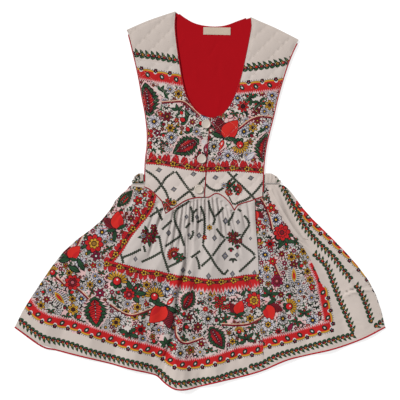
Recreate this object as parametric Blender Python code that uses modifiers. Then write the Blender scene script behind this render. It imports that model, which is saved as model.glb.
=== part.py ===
"""A girl's quilted dirndl of printed cotton, laid flat on a surface with its front up.

Frame: metres, the surface at z = 0, +Y towards the neck, +X to the right as seen from above.
Tables and sizes are in millimetres and are scaled where a mesh is made.
The layers from the surface up: back bodice, back waistband and back skirt, then the red
lining, then the two bodice fronts, the casing ends and the front of the skirt.
"""
import math

import bmesh
import bpy
from mathutils import Matrix, Vector
from mathutils.geometry import delaunay_2d_cdt, intersect_line_line_2d

MM = 0.001

# Driving dimensions, in millimetres.
GAP = 0.3
BACK_THICK = 1.6
LINING_THICK = 1.0
LINING_INSET = 1.5
FRONT_THICK = 1.6
SKIRT_BACK_THICK = 1.2
SKIRT_THICK = 1.5
WAISTBAND_THICK = 2.9
CASING_THICK = 1.6
CASING_CROWN = 0.6
RUCHE_RISE = 1.3
RUCHE_SAMPLES = 4
LABEL_THICK = 1.0
LABEL_SIZE = (53.0, 14.5)
LABEL_CENTRE = (33.0, 329.8)
QUILT_SIDE = 25.0
QUILT_RISE = 1.5
QUILT_STEPS = 4
QUILT_FADE = 8.0
PLACKET_WIDTH = 27.0
UNDERLAP_WIDTH = 28.0
EDGE_CORD = 2.2
SEAM_CORD = 1.8
NECK_CORD = 1.6
BUTTON_RADIUS = 9.0
BUTTON_SEAT = 0.4
WAIST_TOP = 50.0
WAIST_LOW = 32.0
OUTLINE_STEP = 9.0
YOKE_STEP = 5.0
CORD_SIDES_LEVEL = 1

# What the tables' zero is moved by, so that the frame's origin is under the garment's middle.
MIDDLE = (0.15, 1.26, 0)

# Heights of the layers' undersides above the surface.
LINING_LOW = BACK_THICK + GAP
FRONT_LOW = LINING_LOW + LINING_THICK + GAP
SKIRT_LOW = SKIRT_BACK_THICK + GAP

# The garment's outline and seams: each edge is a smooth curve through its points (x, y).
EDGES = {
    "armhole_left": ((-143.5, 332), (-136, 303), (-127.5, 268), (-120, 233), (-114, 198),
                     (-108.5, 170), (-104.5, 135), (-104.5, 105), (-108, 75), (-109.5, 26)),
    "armhole_right": ((194.5, 312), (184, 291), (174.5, 268), (163, 233), (153, 198), (145, 163),
                      (136, 128), (130, 100), (126, 65), (124.5, 26), (123.5, 7.5)),
    "shoulder_left": ((-143.5, 332), (-100, 350.5), (-46, 368.7)),
    "shoulder_right": ((97, 358), (118, 348.5), (149, 335), (194.5, 312)),
    "neck_back": ((-46, 368.7), (-33, 358), (-10, 345), (20, 339), (48, 340.5), (75, 350), (97, 358)),
    "neck_left": ((-46, 368.7), (-48, 340), (-45, 307), (-39.5, 270), (-34, 236), (-26, 205),
                  (-14, 184), (1, 169), (20, 162)),
    "neck_right": ((20, 162), (40, 167), (57, 185), (70, 212), (80, 244), (87, 275), (95, 315),
                   (99, 340), (97, 358)),
    "front_edge": ((20, 162), (17.5, 130), (14.5, 97), (12, 61), (10.5, 34), (8, 5)),
    "yoke_left_lobe": ((-109.5, 26), (-97, 20), (-82, 6), (-73, -5), (-67.5, -26)),
    "yoke_left_arch": ((-67.5, -26), (-58, -20), (-44, -11), (-32, -3), (-20, 2), (-5, 5), (8, 5)),
    "yoke_right_arch": ((8, 5), (18, 6), (31, 13), (44, 8), (58, -5), (67, -20)),
    "yoke_right_lobe": ((67, -20), (74, -10), (87, -5), (98, -2), (123.5, 7.5)),
    "skirt_left": ((-137, 28), (-143, 20), (-156, 10), (-167, -3), (-176, -20), (-201, -48),
                   (-240, -77), (-272, -107), (-305, -153), (-336, -200), (-364, -247)),
    "skirt_right": ((162, 29), (173, 21), (190, -1), (208, -25), (243, -60), (278, -95),
                    (309, -130), (334, -165), (346, -192), (356, -223), (364, -247)),
    "side_seam": ((107, -1), (108, -40), (112, -89), (115, -147), (118, -206), (122, -264),
                  (126, -331.5)),
    "hem_front": ((-364, -247), (-349, -261), (-319, -282), (-272, -296), (-210, -311),
                  (-147, -327), (-100, -338.5), (-84, -344), (-69, -358), (-50, -369),
                  (-22, -369.5), (24, -358), (87, -344), (126, -331.5)),
    "hem_side": ((126, -331.5), (149, -319), (212, -303), (274, -288), (321, -270), (352, -254),
                 (364, -247)),
}

# Corners of the skirt panels where they meet the waist.
WAIST_CORNERS = {"left_end": (-137, 28), "yoke_left": (-111, 24), "yoke_foot": (125, 5),
                 "yoke_right": (127, 29), "casing_right": (143, 30), "right_end": (162, 29)}

# Gathers along the waist seam: where a run of them starts and ends (x), how many it has,
# the points that draw each one, how high they rise and how far down the skirt they reach.
GATHERS_FRONT = (
    {"start": -137, "end": -111, "count": 2, "samples": 2, "rise": 1.6, "reach": 60},
    {"start": -111, "end": -67.5, "count": 4, "samples": 3, "rise": 1.8, "reach": 70},
    {"start": -67.5, "end": -30, "count": 4, "samples": 3, "rise": 2.4, "reach": 110},
    {"start": -30, "end": 67, "count": 12, "samples": 4, "rise": 3.4, "reach": 140},
    {"start": 67, "end": 107, "count": 4, "samples": 3, "rise": 2.2, "reach": 90},
)
GATHERS_SIDE = (
    {"start": 107, "end": 127, "count": 2, "samples": 4, "rise": 1.8, "reach": 80},
    {"start": 127, "end": 162, "count": 4, "samples": 4, "rise": 2.6, "reach": 110},
)

# Large folds: the place of each crest as a share across the panel at the waist and at the
# hem, its half width as a share, and its height at the waist, halfway and at the hem.
FOLDS_FRONT = (
    {"waist": 0.10, "hem": 0.09, "half": 0.09, "heights": (1.5, 4.0, 4.5)},
    {"waist": 0.27, "hem": 0.28, "half": 0.12, "heights": (2.0, 6.0, 6.5)},
    {"waist": 0.42, "hem": 0.47, "half": 0.10, "heights": (2.5, 6.5, 10.0)},
    {"waist": 0.53, "hem": 0.665, "half": 0.08, "heights": (2.5, 6.0, 11.0)},
    {"waist": 0.69, "hem": 0.80, "half": 0.08, "heights": (2.5, 7.0, 7.5)},
    {"waist": 0.87, "hem": 0.92, "half": 0.06, "heights": (2.0, 5.0, 5.0)},
)
FOLDS_SIDE = (
    {"waist": 0.22, "hem": 0.20, "half": 0.16, "heights": (2.0, 5.0, 5.0)},
    {"waist": 0.55, "hem": 0.50, "half": 0.15, "heights": (3.5, 7.0, 6.0)},
    {"waist": 0.84, "hem": 0.80, "half": 0.13, "heights": (2.5, 4.5, 4.0)},
)
# Rows of a skirt panel: how far each lies below the waist seam, and how many of the waist's
# points it keeps (1 keeps all, 2 every second one).
SKIRT_ROWS = ((0, 1), (4, 1), (11, 1), (22, 1), (38, 1), (58, 1), (84, 2), (112, 2), (144, 4),
              (178, 4), (212, 4), (246, 4), (280, 4), (313, 4))
SKIRT_DROP = 345.0
GATHER_PEAK = 22.0
GATHER_AT_SEAM = 0.3

# Buttons on the left front, from the neck down (x, y).
BUTTONS = ((12, 148), (3.5, 80), (-2, 21))
# A button's turned profile: radius and height.
BUTTON_PROFILE = ((0, 0), (6.8, 0), (8.7, 0.7), (9.0, 1.5), (8.5, 2.5), (7.6, 2.8), (6.4, 2.1), (0, 1.9))
BUTTON_SIDES = 18

COLOURS = {
    "print_cotton": ((0.62, 0.50, 0.44), 0.85),
    "plain_cotton": ((0.60, 0.54, 0.47), 0.88),
    "red_lining": ((0.42, 0.01, 0.02), 0.80),
    "red_cord": ((0.48, 0.02, 0.04), 0.75),
    "label_tape": ((0.70, 0.66, 0.56), 0.80),
    "button_cream": ((0.74, 0.69, 0.58), 0.35),
}


def clear_scene():
    for item in list(bpy.data.objects):
        bpy.data.objects.remove(item)


def material(name):
    found = bpy.data.materials.get(name)
    if found:
        return found
    colour, roughness = COLOURS[name]
    made = bpy.data.materials.new(name)
    made.use_nodes = True
    shader = made.node_tree.nodes["Principled BSDF"]
    shader.inputs["Base Color"].default_value = (*colour, 1)
    shader.inputs["Roughness"].default_value = roughness
    shader.inputs["Metallic"].default_value = 0
    return made


def smooth(points, step):
    """Places about one step apart on a smooth curve through the points."""
    path = [Vector(point) for point in points]
    ends = [path[0] * 2 - path[1]] + path + [path[-1] * 2 - path[-2]]
    places = []
    for before, start, end, after in zip(ends, ends[1:], ends[2:], ends[3:]):
        count = max(1, round((end - start).length / step))
        for index in range(count):
            t = index / count
            places.append(0.5 * (2 * start + (end - before) * t
                                 + (2 * before - 5 * start + 4 * end - after) * t * t
                                 + (3 * start - before - 3 * end + after) * t ** 3))
    places.append(path[-1])
    return places


def edge(name):
    return smooth(EDGES[name], YOKE_STEP if name.startswith("yoke") else OUTLINE_STEP)


def moved(path, distance):
    """The path moved to its left by a distance."""
    places = []
    for index, place in enumerate(path):
        ahead = path[min(index + 1, len(path) - 1)]
        behind = path[max(index - 1, 0)]
        along = (ahead - behind).normalized()
        places.append(place + Vector((-along.y, along.x)) * distance)
    return places


def corner(first, second):
    """Where the end of one path and the start of the next cross when carried on."""
    a, b = first[-2], first[-1]
    c, d = second[0], second[1]
    reach = 20
    far_a, far_b = a - (b - a).normalized() * reach, b + (b - a).normalized() * reach
    far_c, far_d = c - (d - c).normalized() * reach, d + (d - c).normalized() * reach
    return intersect_line_line_2d(far_a, far_b, far_c, far_d) or (b + c) / 2


def joined(*paths):
    """One path from several, with a shared corner where two of them meet."""
    chain = [list(path) for path in paths]
    for first, second in zip(chain, chain[1:]):
        meeting = corner(first, second)
        first[-1] = meeting
        second[0] = meeting
    places = [place for path in chain[:-1] for place in path[:-1]]
    return places + chain[-1]


def ring(*paths):
    """A closed outline from paths that follow each other round it."""
    return [corner(paths[-1], paths[0])] + joined(*paths)[1:-1]


def distance_to(outline, place):
    """How far a place is from the nearest side of an outline."""
    nearest = math.inf
    for start, end in zip(outline, outline[1:] + outline[:1]):
        side = end - start
        share = (place - start).dot(side) / max(side.length_squared, 1e-9)
        foot = start + side * min(max(share, 0), 1)
        nearest = min(nearest, (place - foot).length)
    return nearest


def inside(outline, place):
    count = 0
    for start, end in zip(outline, outline[1:] + outline[:1]):
        if (start.y > place.y) != (end.y > place.y):
            cross_x = start.x + (place.y - start.y) / (end.y - start.y) * (end.x - start.x)
            count += cross_x > place.x
    return count % 2 == 1


def ease(value):
    """A soft step from 0 to 1."""
    value = min(max(value, 0), 1)
    return value * value * (3 - 2 * value)


def height_between(path, x):
    """The y of a path that runs steadily along x, read at x."""
    for start, end in zip(path, path[1:]):
        low, high = sorted((start.x, end.x))
        if low <= x <= high and high > low:
            return start.y + (end.y - start.y) * (x - start.x) / (end.x - start.x)
    nearest = min(path, key=lambda place: abs(place.x - x))
    return nearest.y


def at_share(path, share):
    """The place at a share of a path's length."""
    lengths = [(b - a).length for a, b in zip(path, path[1:])]
    left = share * sum(lengths)
    for index, length in enumerate(lengths):
        if left <= length:
            return path[index].lerp(path[index + 1], left / length)
        left -= length
    return path[-1]


def triangles(outline, inner=()):
    """Triangles over an outline and through the inner places, as indices into both lists."""
    places = [Vector(place[:2]) for place in [*outline, *inner]]
    border = list(range(len(outline)))
    found = delaunay_2d_cdt(places, [], [border], 1, 1e-4)
    first_source = [sources[0] for sources in found[3]]
    return [[first_source[corner_index] for corner_index in face] for face in found[2]]


def place_part(item):
    """Puts an object in the garment's collection, held by the empty at its middle."""
    parts.objects.link(item)
    item.parent = middle


def finish(name, bm, material_name):
    """Turns a mesh in millimetres into a named object in metres."""
    bmesh.ops.recalc_face_normals(bm, faces=bm.faces)
    bmesh.ops.scale(bm, vec=(MM, MM, MM), verts=bm.verts)
    mesh = bpy.data.meshes.new(name)
    bm.to_mesh(mesh)
    bm.free()
    mesh.shade_smooth()
    mesh.set_sharp_from_angle(angle=math.radians(40))
    item = bpy.data.objects.new(name, mesh)
    item.data.materials.append(material(material_name))
    place_part(item)


def plan_wall(name, outline, low, high, material_name, inner=()):
    """A wall over a plan outline: low(place) and high(place) give its two faces."""
    bm = bmesh.new()
    upper = [bm.verts.new((*place, high(place))) for place in [*outline, *inner]]
    lower = [bm.verts.new((*place, low(place))) for place in outline]
    for face in triangles(outline, inner):
        bm.faces.new([upper[index] for index in face])
    for face in triangles(outline):
        bm.faces.new([lower[index] for index in reversed(face)])
    size = len(outline)
    for index in range(size):
        after = (index + 1) % size
        bm.faces.new((upper[index], lower[index], lower[after], upper[after]))
    finish(name, bm, material_name)


def row_wall(name, rows, thick, material_name):
    """A wall through rows of (share, place), which may have unlike numbers of points."""
    bm = bmesh.new()
    lines = [[(share, bm.verts.new(place)) for share, place in row] for row in rows]
    for upper, lower in zip(lines, lines[1:]):
        i, j = 0, 0
        while i < len(upper) - 1 or j < len(lower) - 1:
            next_upper = upper[i + 1][0] if i < len(upper) - 1 else math.inf
            next_lower = lower[j + 1][0] if j < len(lower) - 1 else math.inf
            if next_upper <= next_lower:
                bm.faces.new((upper[i][1], lower[j][1], upper[i + 1][1]))
                i += 1
            else:
                bm.faces.new((upper[i][1], lower[j][1], lower[j + 1][1]))
                j += 1
    top = list(bm.faces)
    copy = bmesh.ops.extrude_face_region(bm, geom=top, use_keep_orig=True)
    under = [item for item in copy["geom"] if isinstance(item, bmesh.types.BMVert)]
    bmesh.ops.translate(bm, vec=(0, 0, -thick), verts=under)
    finish(name, bm, material_name)


def cord(name, path, diameter):
    """A covered cord through places (x, y, z), as a round tube with closed ends."""
    curve = bpy.data.curves.new(name, "CURVE")
    curve.dimensions = "3D"
    curve.bevel_depth = diameter / 2 * MM
    curve.bevel_resolution = CORD_SIDES_LEVEL
    curve.use_fill_caps = True
    spline = curve.splines.new("POLY")
    spline.points.add(len(path) - 1)
    for point, place in zip(spline.points, path):
        point.co = (*(Vector(place) * MM), 1)
    curve.materials.append(material("red_cord"))
    place_part(bpy.data.objects.new(name, curve))


def quilt(place):
    """The rise of the quilting: a pillow in each diamond, nothing on the stitch lines."""
    along = (place.x + place.y) / (math.sqrt(2) * QUILT_SIDE)
    across = (place.x - place.y) / (math.sqrt(2) * QUILT_SIDE)
    return QUILT_RISE * math.sqrt(abs(math.sin(math.pi * along) * math.sin(math.pi * across)))


def quilt_places(outline):
    """Places inside an outline in rows along the stitch lines."""
    step = QUILT_SIDE / QUILT_STEPS
    margin = step * 0.6
    half = math.sqrt(0.5)
    places = []
    span = range(int(-600 / step), int(600 / step) + 1)
    for i in span:
        for j in span:
            place = Vector(((i + j) * step * half, (i - j) * step * half))
            if inside(outline, place) and distance_to(outline, place) > margin:
                places.append(place)
    return places


def front_edge_x(y):
    """The x of the left front's free edge at a height up the closing."""
    turned = [Vector((place.y, place.x)) for place in edge("front_edge")]
    return height_between(turned, y)


def left_front_low(place):
    """The left front's underside: it climbs evenly on to the edge of the right front."""
    start = EDGES["armhole_left"][0][0]
    lap_edge = EDGES["front_edge"][-1][0] - UNDERLAP_WIDTH
    return FRONT_LOW + (FRONT_THICK + GAP) * max(place.x - start, 0) / (lap_edge - start)


def back_bodice():
    """The flat back, cut to the neck, shoulders and armholes, and the red lining on it."""
    armhole_left = moved(edge("armhole_left"), EDGE_CORD)
    armhole_right = moved(edge("armhole_right"), -EDGE_CORD)
    neck = moved(edge("neck_back"), -(NECK_CORD + GAP))
    sides = [[place for place in path if place.y > WAIST_TOP + OUTLINE_STEP / 2]
             for path in (armhole_left, armhole_right)]
    left_foot = Vector((sides[0][-1].x, WAIST_TOP + GAP))
    right_foot = Vector((sides[1][-1].x, WAIST_TOP + GAP))
    outline = joined(edge("shoulder_left"), neck, edge("shoulder_right"), sides[1])
    outline = outline + [right_foot, left_foot] + sides[0][::-1][:-1]
    plan_wall("bodice_back", outline, lambda p: 0, lambda p: BACK_THICK, "print_cotton")
    plan_wall("back_lining", shrink(outline, LINING_INSET), lambda p: LINING_LOW,
              lambda p: LINING_LOW + LINING_THICK, "red_lining")


def shrink(outline, distance):
    """A closed clockwise outline drawn in by a distance."""
    size = len(outline)
    places = []
    for index, place in enumerate(outline):
        behind = outline[index - 1]
        ahead = outline[(index + 1) % size]
        before = (place - behind).normalized()
        after = (ahead - place).normalized()
        normal = Vector((before.y + after.y, -before.x - after.x)).normalized()
        spread = max(normal.dot(Vector((after.y, -after.x))), 0.5)
        places.append(place + normal * distance / spread)
    return places


def back_waist():
    """The elastic casing across the back waist, and the flat back of the skirt below it."""
    ends = (-132, 156)
    band = [Vector(place) for place in ((ends[0], WAIST_LOW), (ends[0] + 4, WAIST_TOP - 4),
                                        (ends[0] + 9, WAIST_TOP), (ends[1] - 13, WAIST_TOP),
                                        (ends[1] - 5, WAIST_TOP - 5), (ends[1], WAIST_LOW))]
    plan_wall("waistband_back", band, lambda p: 0, lambda p: WAISTBAND_THICK, "plain_cotton")
    inset = EDGE_CORD + GAP + 1.0
    left = moved(edge("skirt_left")[::2], 3)
    right = moved(edge("skirt_right")[::2], -3)
    hem = joined(moved(edge("hem_front")[::2], inset), moved(edge("hem_side")[::2], inset))
    waist = [Vector((160, WAIST_LOW - GAP - 3)), Vector((157, WAIST_LOW - GAP)),
             Vector((-133, WAIST_LOW - GAP)), Vector((-135, WAIST_LOW - GAP - 3))]
    outline = joined(left, hem, right[::-1])[1:-1] + waist
    plan_wall("skirt_back", outline, lambda p: 0, lambda p: SKIRT_BACK_THICK, "print_cotton")


def bodice_fronts():
    """The two quilted fronts: the left one laps over the right one at the closing."""
    arm_in = EDGE_CORD + GAP
    neck_in = NECK_CORD + GAP
    seam_in = SEAM_CORD / 2 + GAP
    front = edge("front_edge")
    left_outline = ring(
        edge("shoulder_left"), moved(edge("neck_left"), -neck_in), moved(front, -seam_in),
        moved(edge("yoke_left_arch")[::-1], -seam_in), moved(edge("yoke_left_lobe")[::-1], -seam_in),
        moved(edge("armhole_left")[::-1], -arm_in))

    def left_high(place):
        to_placket = front_edge_x(place.y) - PLACKET_WIDTH - place.x
        fade = ease(distance_to(left_outline, place) / QUILT_FADE) * ease(to_placket / QUILT_FADE + 0.5)
        return left_front_low(place) + FRONT_THICK + quilt(place) * fade

    plan_wall("bodice_front_left", left_outline, left_front_low, left_high, "print_cotton",
              quilt_places(left_outline))

    lap = [place - Vector((UNDERLAP_WIDTH, 0)) for place in front]
    lap = [place for place in lap if 8 < place.y < 165]
    neck_corner = Vector((front[0].x, front[0].y - 2.5))
    low_corner = Vector((front[-1].x - UNDERLAP_WIDTH, front[-1].y + seam_in + 1))
    right_outline = joined(
        moved(edge("neck_right"), -neck_in), edge("shoulder_right"), moved(edge("armhole_right"), -arm_in),
        moved(edge("yoke_right_lobe")[::-1], -seam_in), moved(edge("yoke_right_arch")[::-1], -seam_in))
    right_outline = right_outline + [low_corner] + lap[::-1] + [neck_corner]

    def right_high(place):
        beyond_edge = place.x - front_edge_x(place.y) - 3
        fade = ease(distance_to(right_outline, place) / QUILT_FADE) * ease(beyond_edge / QUILT_FADE)
        return FRONT_LOW + FRONT_THICK + quilt(place) * fade

    plan_wall("bodice_front_right", right_outline, lambda p: FRONT_LOW, right_high, "print_cotton",
              quilt_places(right_outline))


def gather_columns(zones):
    """Shares across a skirt panel where its waist row has points, with each one's gather."""
    start, end = zones[0]["start"], zones[-1]["end"]
    columns = []
    number = 0
    for zone in zones:
        points = zone["count"] * zone["samples"]
        for index in range(points):
            x = zone["start"] + (zone["end"] - zone["start"]) * index / points
            phase = (index % zone["samples"]) / zone["samples"]
            gather = number + index // zone["samples"]
            columns.append({"share": (x - start) / (end - start), "phase": phase,
                            "gather": gather, "zone": zone})
        number += zone["count"]
    columns.append({"share": 1.0, "phase": 0.0, "gather": number, "zone": zones[-1]})
    return columns


def gather_rise(column, drop):
    """How far a gather lifts the cloth at one column, a given drop below the waist seam."""
    zone = column["zone"]
    grow = GATHER_AT_SEAM + (1 - GATHER_AT_SEAM) * ease(drop / GATHER_PEAK)
    fade = 1 - ease((drop - GATHER_PEAK) / (zone["reach"] - GATHER_PEAK))
    uneven = 0.78 + 0.22 * math.sin(2.4 * column["gather"])
    return zone["rise"] * uneven * grow * fade * (0.5 - 0.5 * math.cos(2 * math.pi * column["phase"]))


def fold_rise(folds, share, down):
    """The height of the large folds at a share across a panel and a share down it."""
    rise = 0
    for fold in folds:
        centre = fold["waist"] + (fold["hem"] - fold["waist"]) * down
        waist, middle, hem = fold["heights"]
        height = waist + (middle - waist) * ease(down * 2) if down < 0.5 else (
            middle + (hem - middle) * ease(down * 2 - 1))
        away = abs(share - centre) / fold["half"]
        if away < 1:
            rise += height * (0.5 + 0.5 * math.cos(math.pi * away))
    return rise


def side_seam_rise(down):
    """The height that the two skirt panels share along the seam between them."""
    return 2.0 + 1.5 * math.sin(math.pi * down)


def skirt_rows(zones, folds, waist, hem, left, right, seam_side):
    """Rows of a skirt panel between its waist line, hem and two side lines."""
    columns = gather_columns(zones)
    start, end = zones[0]["start"], zones[-1]["end"]
    corners = (left[0], right[0], left[-1], right[-1])
    rows = []
    for drop, keep in SKIRT_ROWS + ((SKIRT_DROP, 4),):
        down = drop / SKIRT_DROP
        row = []
        kept = [c for index, c in enumerate(columns) if index % keep == 0 or index == len(columns) - 1]
        for column in kept:
            share = column["share"]
            x_waist = start + (end - start) * share
            x_hem = hem[0].x + (hem[-1].x - hem[0].x) * share
            on_waist = Vector((x_waist, height_between(waist, x_waist)))
            on_hem = Vector((x_hem, height_between(hem, x_hem)))
            blend = on_waist.lerp(on_hem, down) + at_share(left, down).lerp(at_share(right, down), share)
            blend -= corners[0].lerp(corners[1], share).lerp(corners[2].lerp(corners[3], share), down)
            at_seam = share if seam_side == "right" else 1 - share
            seam = side_seam_rise(down) * ease(1 - (1 - at_seam) / 0.08)
            waist_lift = (FRONT_LOW - SKIRT_LOW) * (1 - ease(drop / GATHER_PEAK))
            height = SKIRT_LOW + SKIRT_THICK + waist_lift + gather_rise(column, drop)
            height += max(fold_rise(folds, share, down) * ease(drop / 60), seam * ease(drop / 60))
            row.append((share, Vector((blend.x, blend.y, height))))
        rows.append(row)
    return rows


def skirt_front():
    """The front of the skirt: gathered under the yoke, with its folds running to the hem."""
    seam_out = SEAM_CORD / 2 + GAP
    yoke = joined(*[moved(edge(name), -seam_out) for name in
                    ("yoke_left_lobe", "yoke_left_arch", "yoke_right_arch", "yoke_right_lobe")])
    left = edge("skirt_left")
    seam = moved(edge("side_seam"), -GAP / 2)
    hem = moved(edge("hem_front"), EDGE_CORD + GAP)
    waist = [Vector(WAIST_CORNERS["left_end"]), Vector(WAIST_CORNERS["yoke_left"])]
    waist += [place for place in yoke if place.x > WAIST_CORNERS["yoke_left"][0] + 4]
    hem[0], hem[-1] = left[-1] + Vector((3, 0)), Vector((seam[-1].x, hem[-1].y))
    left[-1] = hem[0]
    seam[0] = Vector((GATHERS_FRONT[-1]["end"], height_between(waist, GATHERS_FRONT[-1]["end"])))
    seam[-1] = hem[-1]
    rows = skirt_rows(GATHERS_FRONT, FOLDS_FRONT, waist, hem, left, seam, "right")
    row_wall("skirt_front", rows, SKIRT_THICK, "print_cotton")
    return rows[-1]


def skirt_side():
    """The right side of the skirt, from the side seam round to the fold at its edge."""
    seam_out = SEAM_CORD / 2 + GAP
    lobe = moved(edge("yoke_right_lobe"), -seam_out)
    seam = moved(edge("side_seam"), GAP / 2)
    right = edge("skirt_right")
    hem = moved(edge("hem_side"), EDGE_CORD + GAP)
    start = GATHERS_SIDE[0]["start"] + GAP
    waist = [Vector((start, height_between(lobe, start)))]
    waist += [place for place in lobe if start < place.x < 122]
    waist += [Vector(WAIST_CORNERS[name]) for name in
              ("yoke_foot", "yoke_right", "casing_right", "right_end")]
    hem[0], hem[-1] = Vector((seam[-1].x, hem[0].y)), right[-1] - Vector((3, 0))
    seam[0], seam[-1] = waist[0], hem[0]
    right[-1] = hem[-1]
    rows = skirt_rows(GATHERS_SIDE, FOLDS_SIDE, waist, hem, seam, right, "left")
    row_wall("skirt_side_right", rows, SKIRT_THICK, "print_cotton")
    return rows[-1]


def hem_piping(*hem_rows):
    """The red cord round the hem, made from the panels' last rows, moved out."""
    places = [place for row in hem_rows for _, place in row]
    flat = [Vector((place.x, place.y)) for place in places]
    path = []
    for place, out in zip(places, moved(flat, -(EDGE_CORD / 2 + GAP))):
        path.append((out.x, out.y, place.z - SKIRT_THICK / 2))
    cord("piping_hem", path, EDGE_CORD)


def bodice_piping():
    """The red cords on the armholes, neck, closing and yoke seams, along the walls' edges."""
    def left_mid(place):
        return left_front_low(place) + FRONT_THICK / 2

    def right_mid(place):
        return FRONT_LOW + FRONT_THICK / 2

    cords = (
        {"name": "piping_armhole_left", "edge": "armhole_left", "side": 1, "size": EDGE_CORD, "z": left_mid},
        {"name": "piping_armhole_right", "edge": "armhole_right", "side": -1, "size": EDGE_CORD, "z": right_mid},
        {"name": "piping_neck_left", "edge": "neck_left", "side": -1, "size": NECK_CORD, "z": left_mid},
        {"name": "piping_neck_right", "edge": "neck_right", "side": -1, "size": NECK_CORD, "z": right_mid},
        {"name": "piping_neck_back", "edge": "neck_back", "side": -1, "size": NECK_CORD,
         "z": lambda place: LINING_LOW},
        {"name": "piping_front_edge", "edge": "front_edge", "side": 0, "size": SEAM_CORD, "z": left_mid},
    )
    for row in cords:
        path = moved(edge(row["edge"]), row["side"] * row["size"] / 2)
        path = path[1:-1] if row["name"] != "piping_front_edge" else path
        cord(row["name"], [(*place, row["z"](place)) for place in path], row["size"])
    for name, edges, z in (("piping_yoke_left", ("yoke_left_lobe", "yoke_left_arch"), left_mid),
                           ("piping_yoke_right", ("yoke_right_arch", "yoke_right_lobe"), right_mid)):
        path = joined(*[edge(part) for part in edges])
        path = path[:-1] if name == "piping_yoke_left" else path[1:]
        cord(name, [(*place, z(place)) for place in path], SEAM_CORD)


def casing_ends():
    """The ruched ends of the elastic casing that show beside the yoke."""
    low = WAISTBAND_THICK + GAP
    for name, inner_x, outer_x, ruches, cloth in (("casing_left", -111, -133, 3, "print_cotton"),
                                                  ("casing_right", 127, 158, 4, "plain_cotton")):
        rows = []
        columns = ruches * RUCHE_SAMPLES
        for row_share in (0, 0.12, 0.35, 0.65, 0.88, 1):
            row = []
            for index in range(columns + 1):
                share = index / columns
                x = inner_x + (outer_x - inner_x) * share
                top = WAIST_TOP + 2 - 14 * ease((share - 0.35) / 0.65)
                y = top + (WAIST_LOW + 1.0 - top) * row_share
                shape = math.sin(math.pi * (0.1 + 0.8 * row_share))
                wave = 0.5 - 0.5 * math.cos(2 * math.pi * index / RUCHE_SAMPLES)
                rise = (CASING_CROWN + RUCHE_RISE * wave) * shape
                row.append((share, Vector((x, y, low + CASING_THICK + rise))))
            rows.append(row)
        row_wall(name, rows, CASING_THICK, cloth)


def buttons():
    """The front's flat buttons with a raised rim, all turned from one profile."""
    for number, (x, y) in enumerate(BUTTONS, 1):
        mesh = bpy.data.meshes.new(f"button_{number}")
        profile = [(radius * MM, 0, height * MM) for radius, height in BUTTON_PROFILE]
        pairs = [(index, index + 1) for index in range(len(profile) - 1)]
        mesh.from_pydata(profile, pairs, [])
        item = bpy.data.objects.new(f"button_{number}", mesh)
        item.data.materials.append(material("button_cream"))
        place_part(item)
        screw = item.modifiers.new("turn", "SCREW")
        screw.steps = BUTTON_SIDES
        screw.render_steps = BUTTON_SIDES
        screw.use_merge_vertices = True
        screw.merge_threshold = 0.00001
        screw.use_normal_calculate = True
        seat = left_front_low(Vector((x + BUTTON_RADIUS, y))) + FRONT_THICK + BUTTON_SEAT
        item.location = Vector((x, y, seat)) * MM


def label():
    """The bare woven label sewn to the lining below the back neck."""
    bm = bmesh.new()
    bmesh.ops.create_cube(bm, size=1)
    width, depth = LABEL_SIZE
    bmesh.ops.scale(bm, vec=(width, depth, LABEL_THICK), verts=bm.verts)
    height = LINING_LOW + LINING_THICK + GAP + LABEL_THICK / 2
    place = Matrix.Translation((*LABEL_CENTRE, height)) @ Matrix.Rotation(math.radians(-1), 4, "Z")
    bmesh.ops.transform(bm, matrix=place, verts=bm.verts)
    finish("label", bm, "label_tape")


clear_scene()
parts = bpy.data.collections.new("dirndl")
bpy.context.scene.collection.children.link(parts)
middle = bpy.data.objects.new("middle", None)
middle.location = Vector(MIDDLE) * MM
parts.objects.link(middle)
back_bodice()
back_waist()
bodice_fronts()
hem_piping(skirt_front(), skirt_side())
bodice_piping()
casing_ends()
buttons()
label()
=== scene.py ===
"""The looks of a girl's quilted dirndl of printed cotton, laid flat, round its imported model.

Work is in millimetres in the model's own frame, and is scaled when a mesh is made. Points in the
plane are complex numbers, which makes turning and moving a printed motif one multiplication.
The print's places are given on a chart of 400 by 400 units laid over the garment from above.
"""

import cmath
import math
import random
from functools import partial

import bmesh
import bpy
import numpy as np
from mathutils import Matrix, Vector
from mathutils.bvhtree import BVHTree
from mathutils.geometry import delaunay_2d_cdt


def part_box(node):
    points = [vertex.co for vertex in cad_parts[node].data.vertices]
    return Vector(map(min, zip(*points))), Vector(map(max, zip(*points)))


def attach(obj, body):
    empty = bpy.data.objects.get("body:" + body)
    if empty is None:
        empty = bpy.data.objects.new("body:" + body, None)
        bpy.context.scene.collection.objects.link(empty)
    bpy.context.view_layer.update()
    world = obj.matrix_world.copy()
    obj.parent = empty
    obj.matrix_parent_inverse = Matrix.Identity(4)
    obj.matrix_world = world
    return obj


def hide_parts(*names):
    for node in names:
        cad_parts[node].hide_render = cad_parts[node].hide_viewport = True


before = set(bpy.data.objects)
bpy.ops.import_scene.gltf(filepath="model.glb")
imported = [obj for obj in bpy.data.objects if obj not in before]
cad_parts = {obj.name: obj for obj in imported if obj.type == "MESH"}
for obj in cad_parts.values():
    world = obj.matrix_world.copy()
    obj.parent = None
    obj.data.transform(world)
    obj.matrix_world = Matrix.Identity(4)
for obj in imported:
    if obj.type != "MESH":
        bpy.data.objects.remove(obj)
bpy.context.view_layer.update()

MM = 0.001
CHART_UNIT = 1.95
CHART_SIDE = 400
CHART_ZERO = complex(199.42, 200.15)

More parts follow.
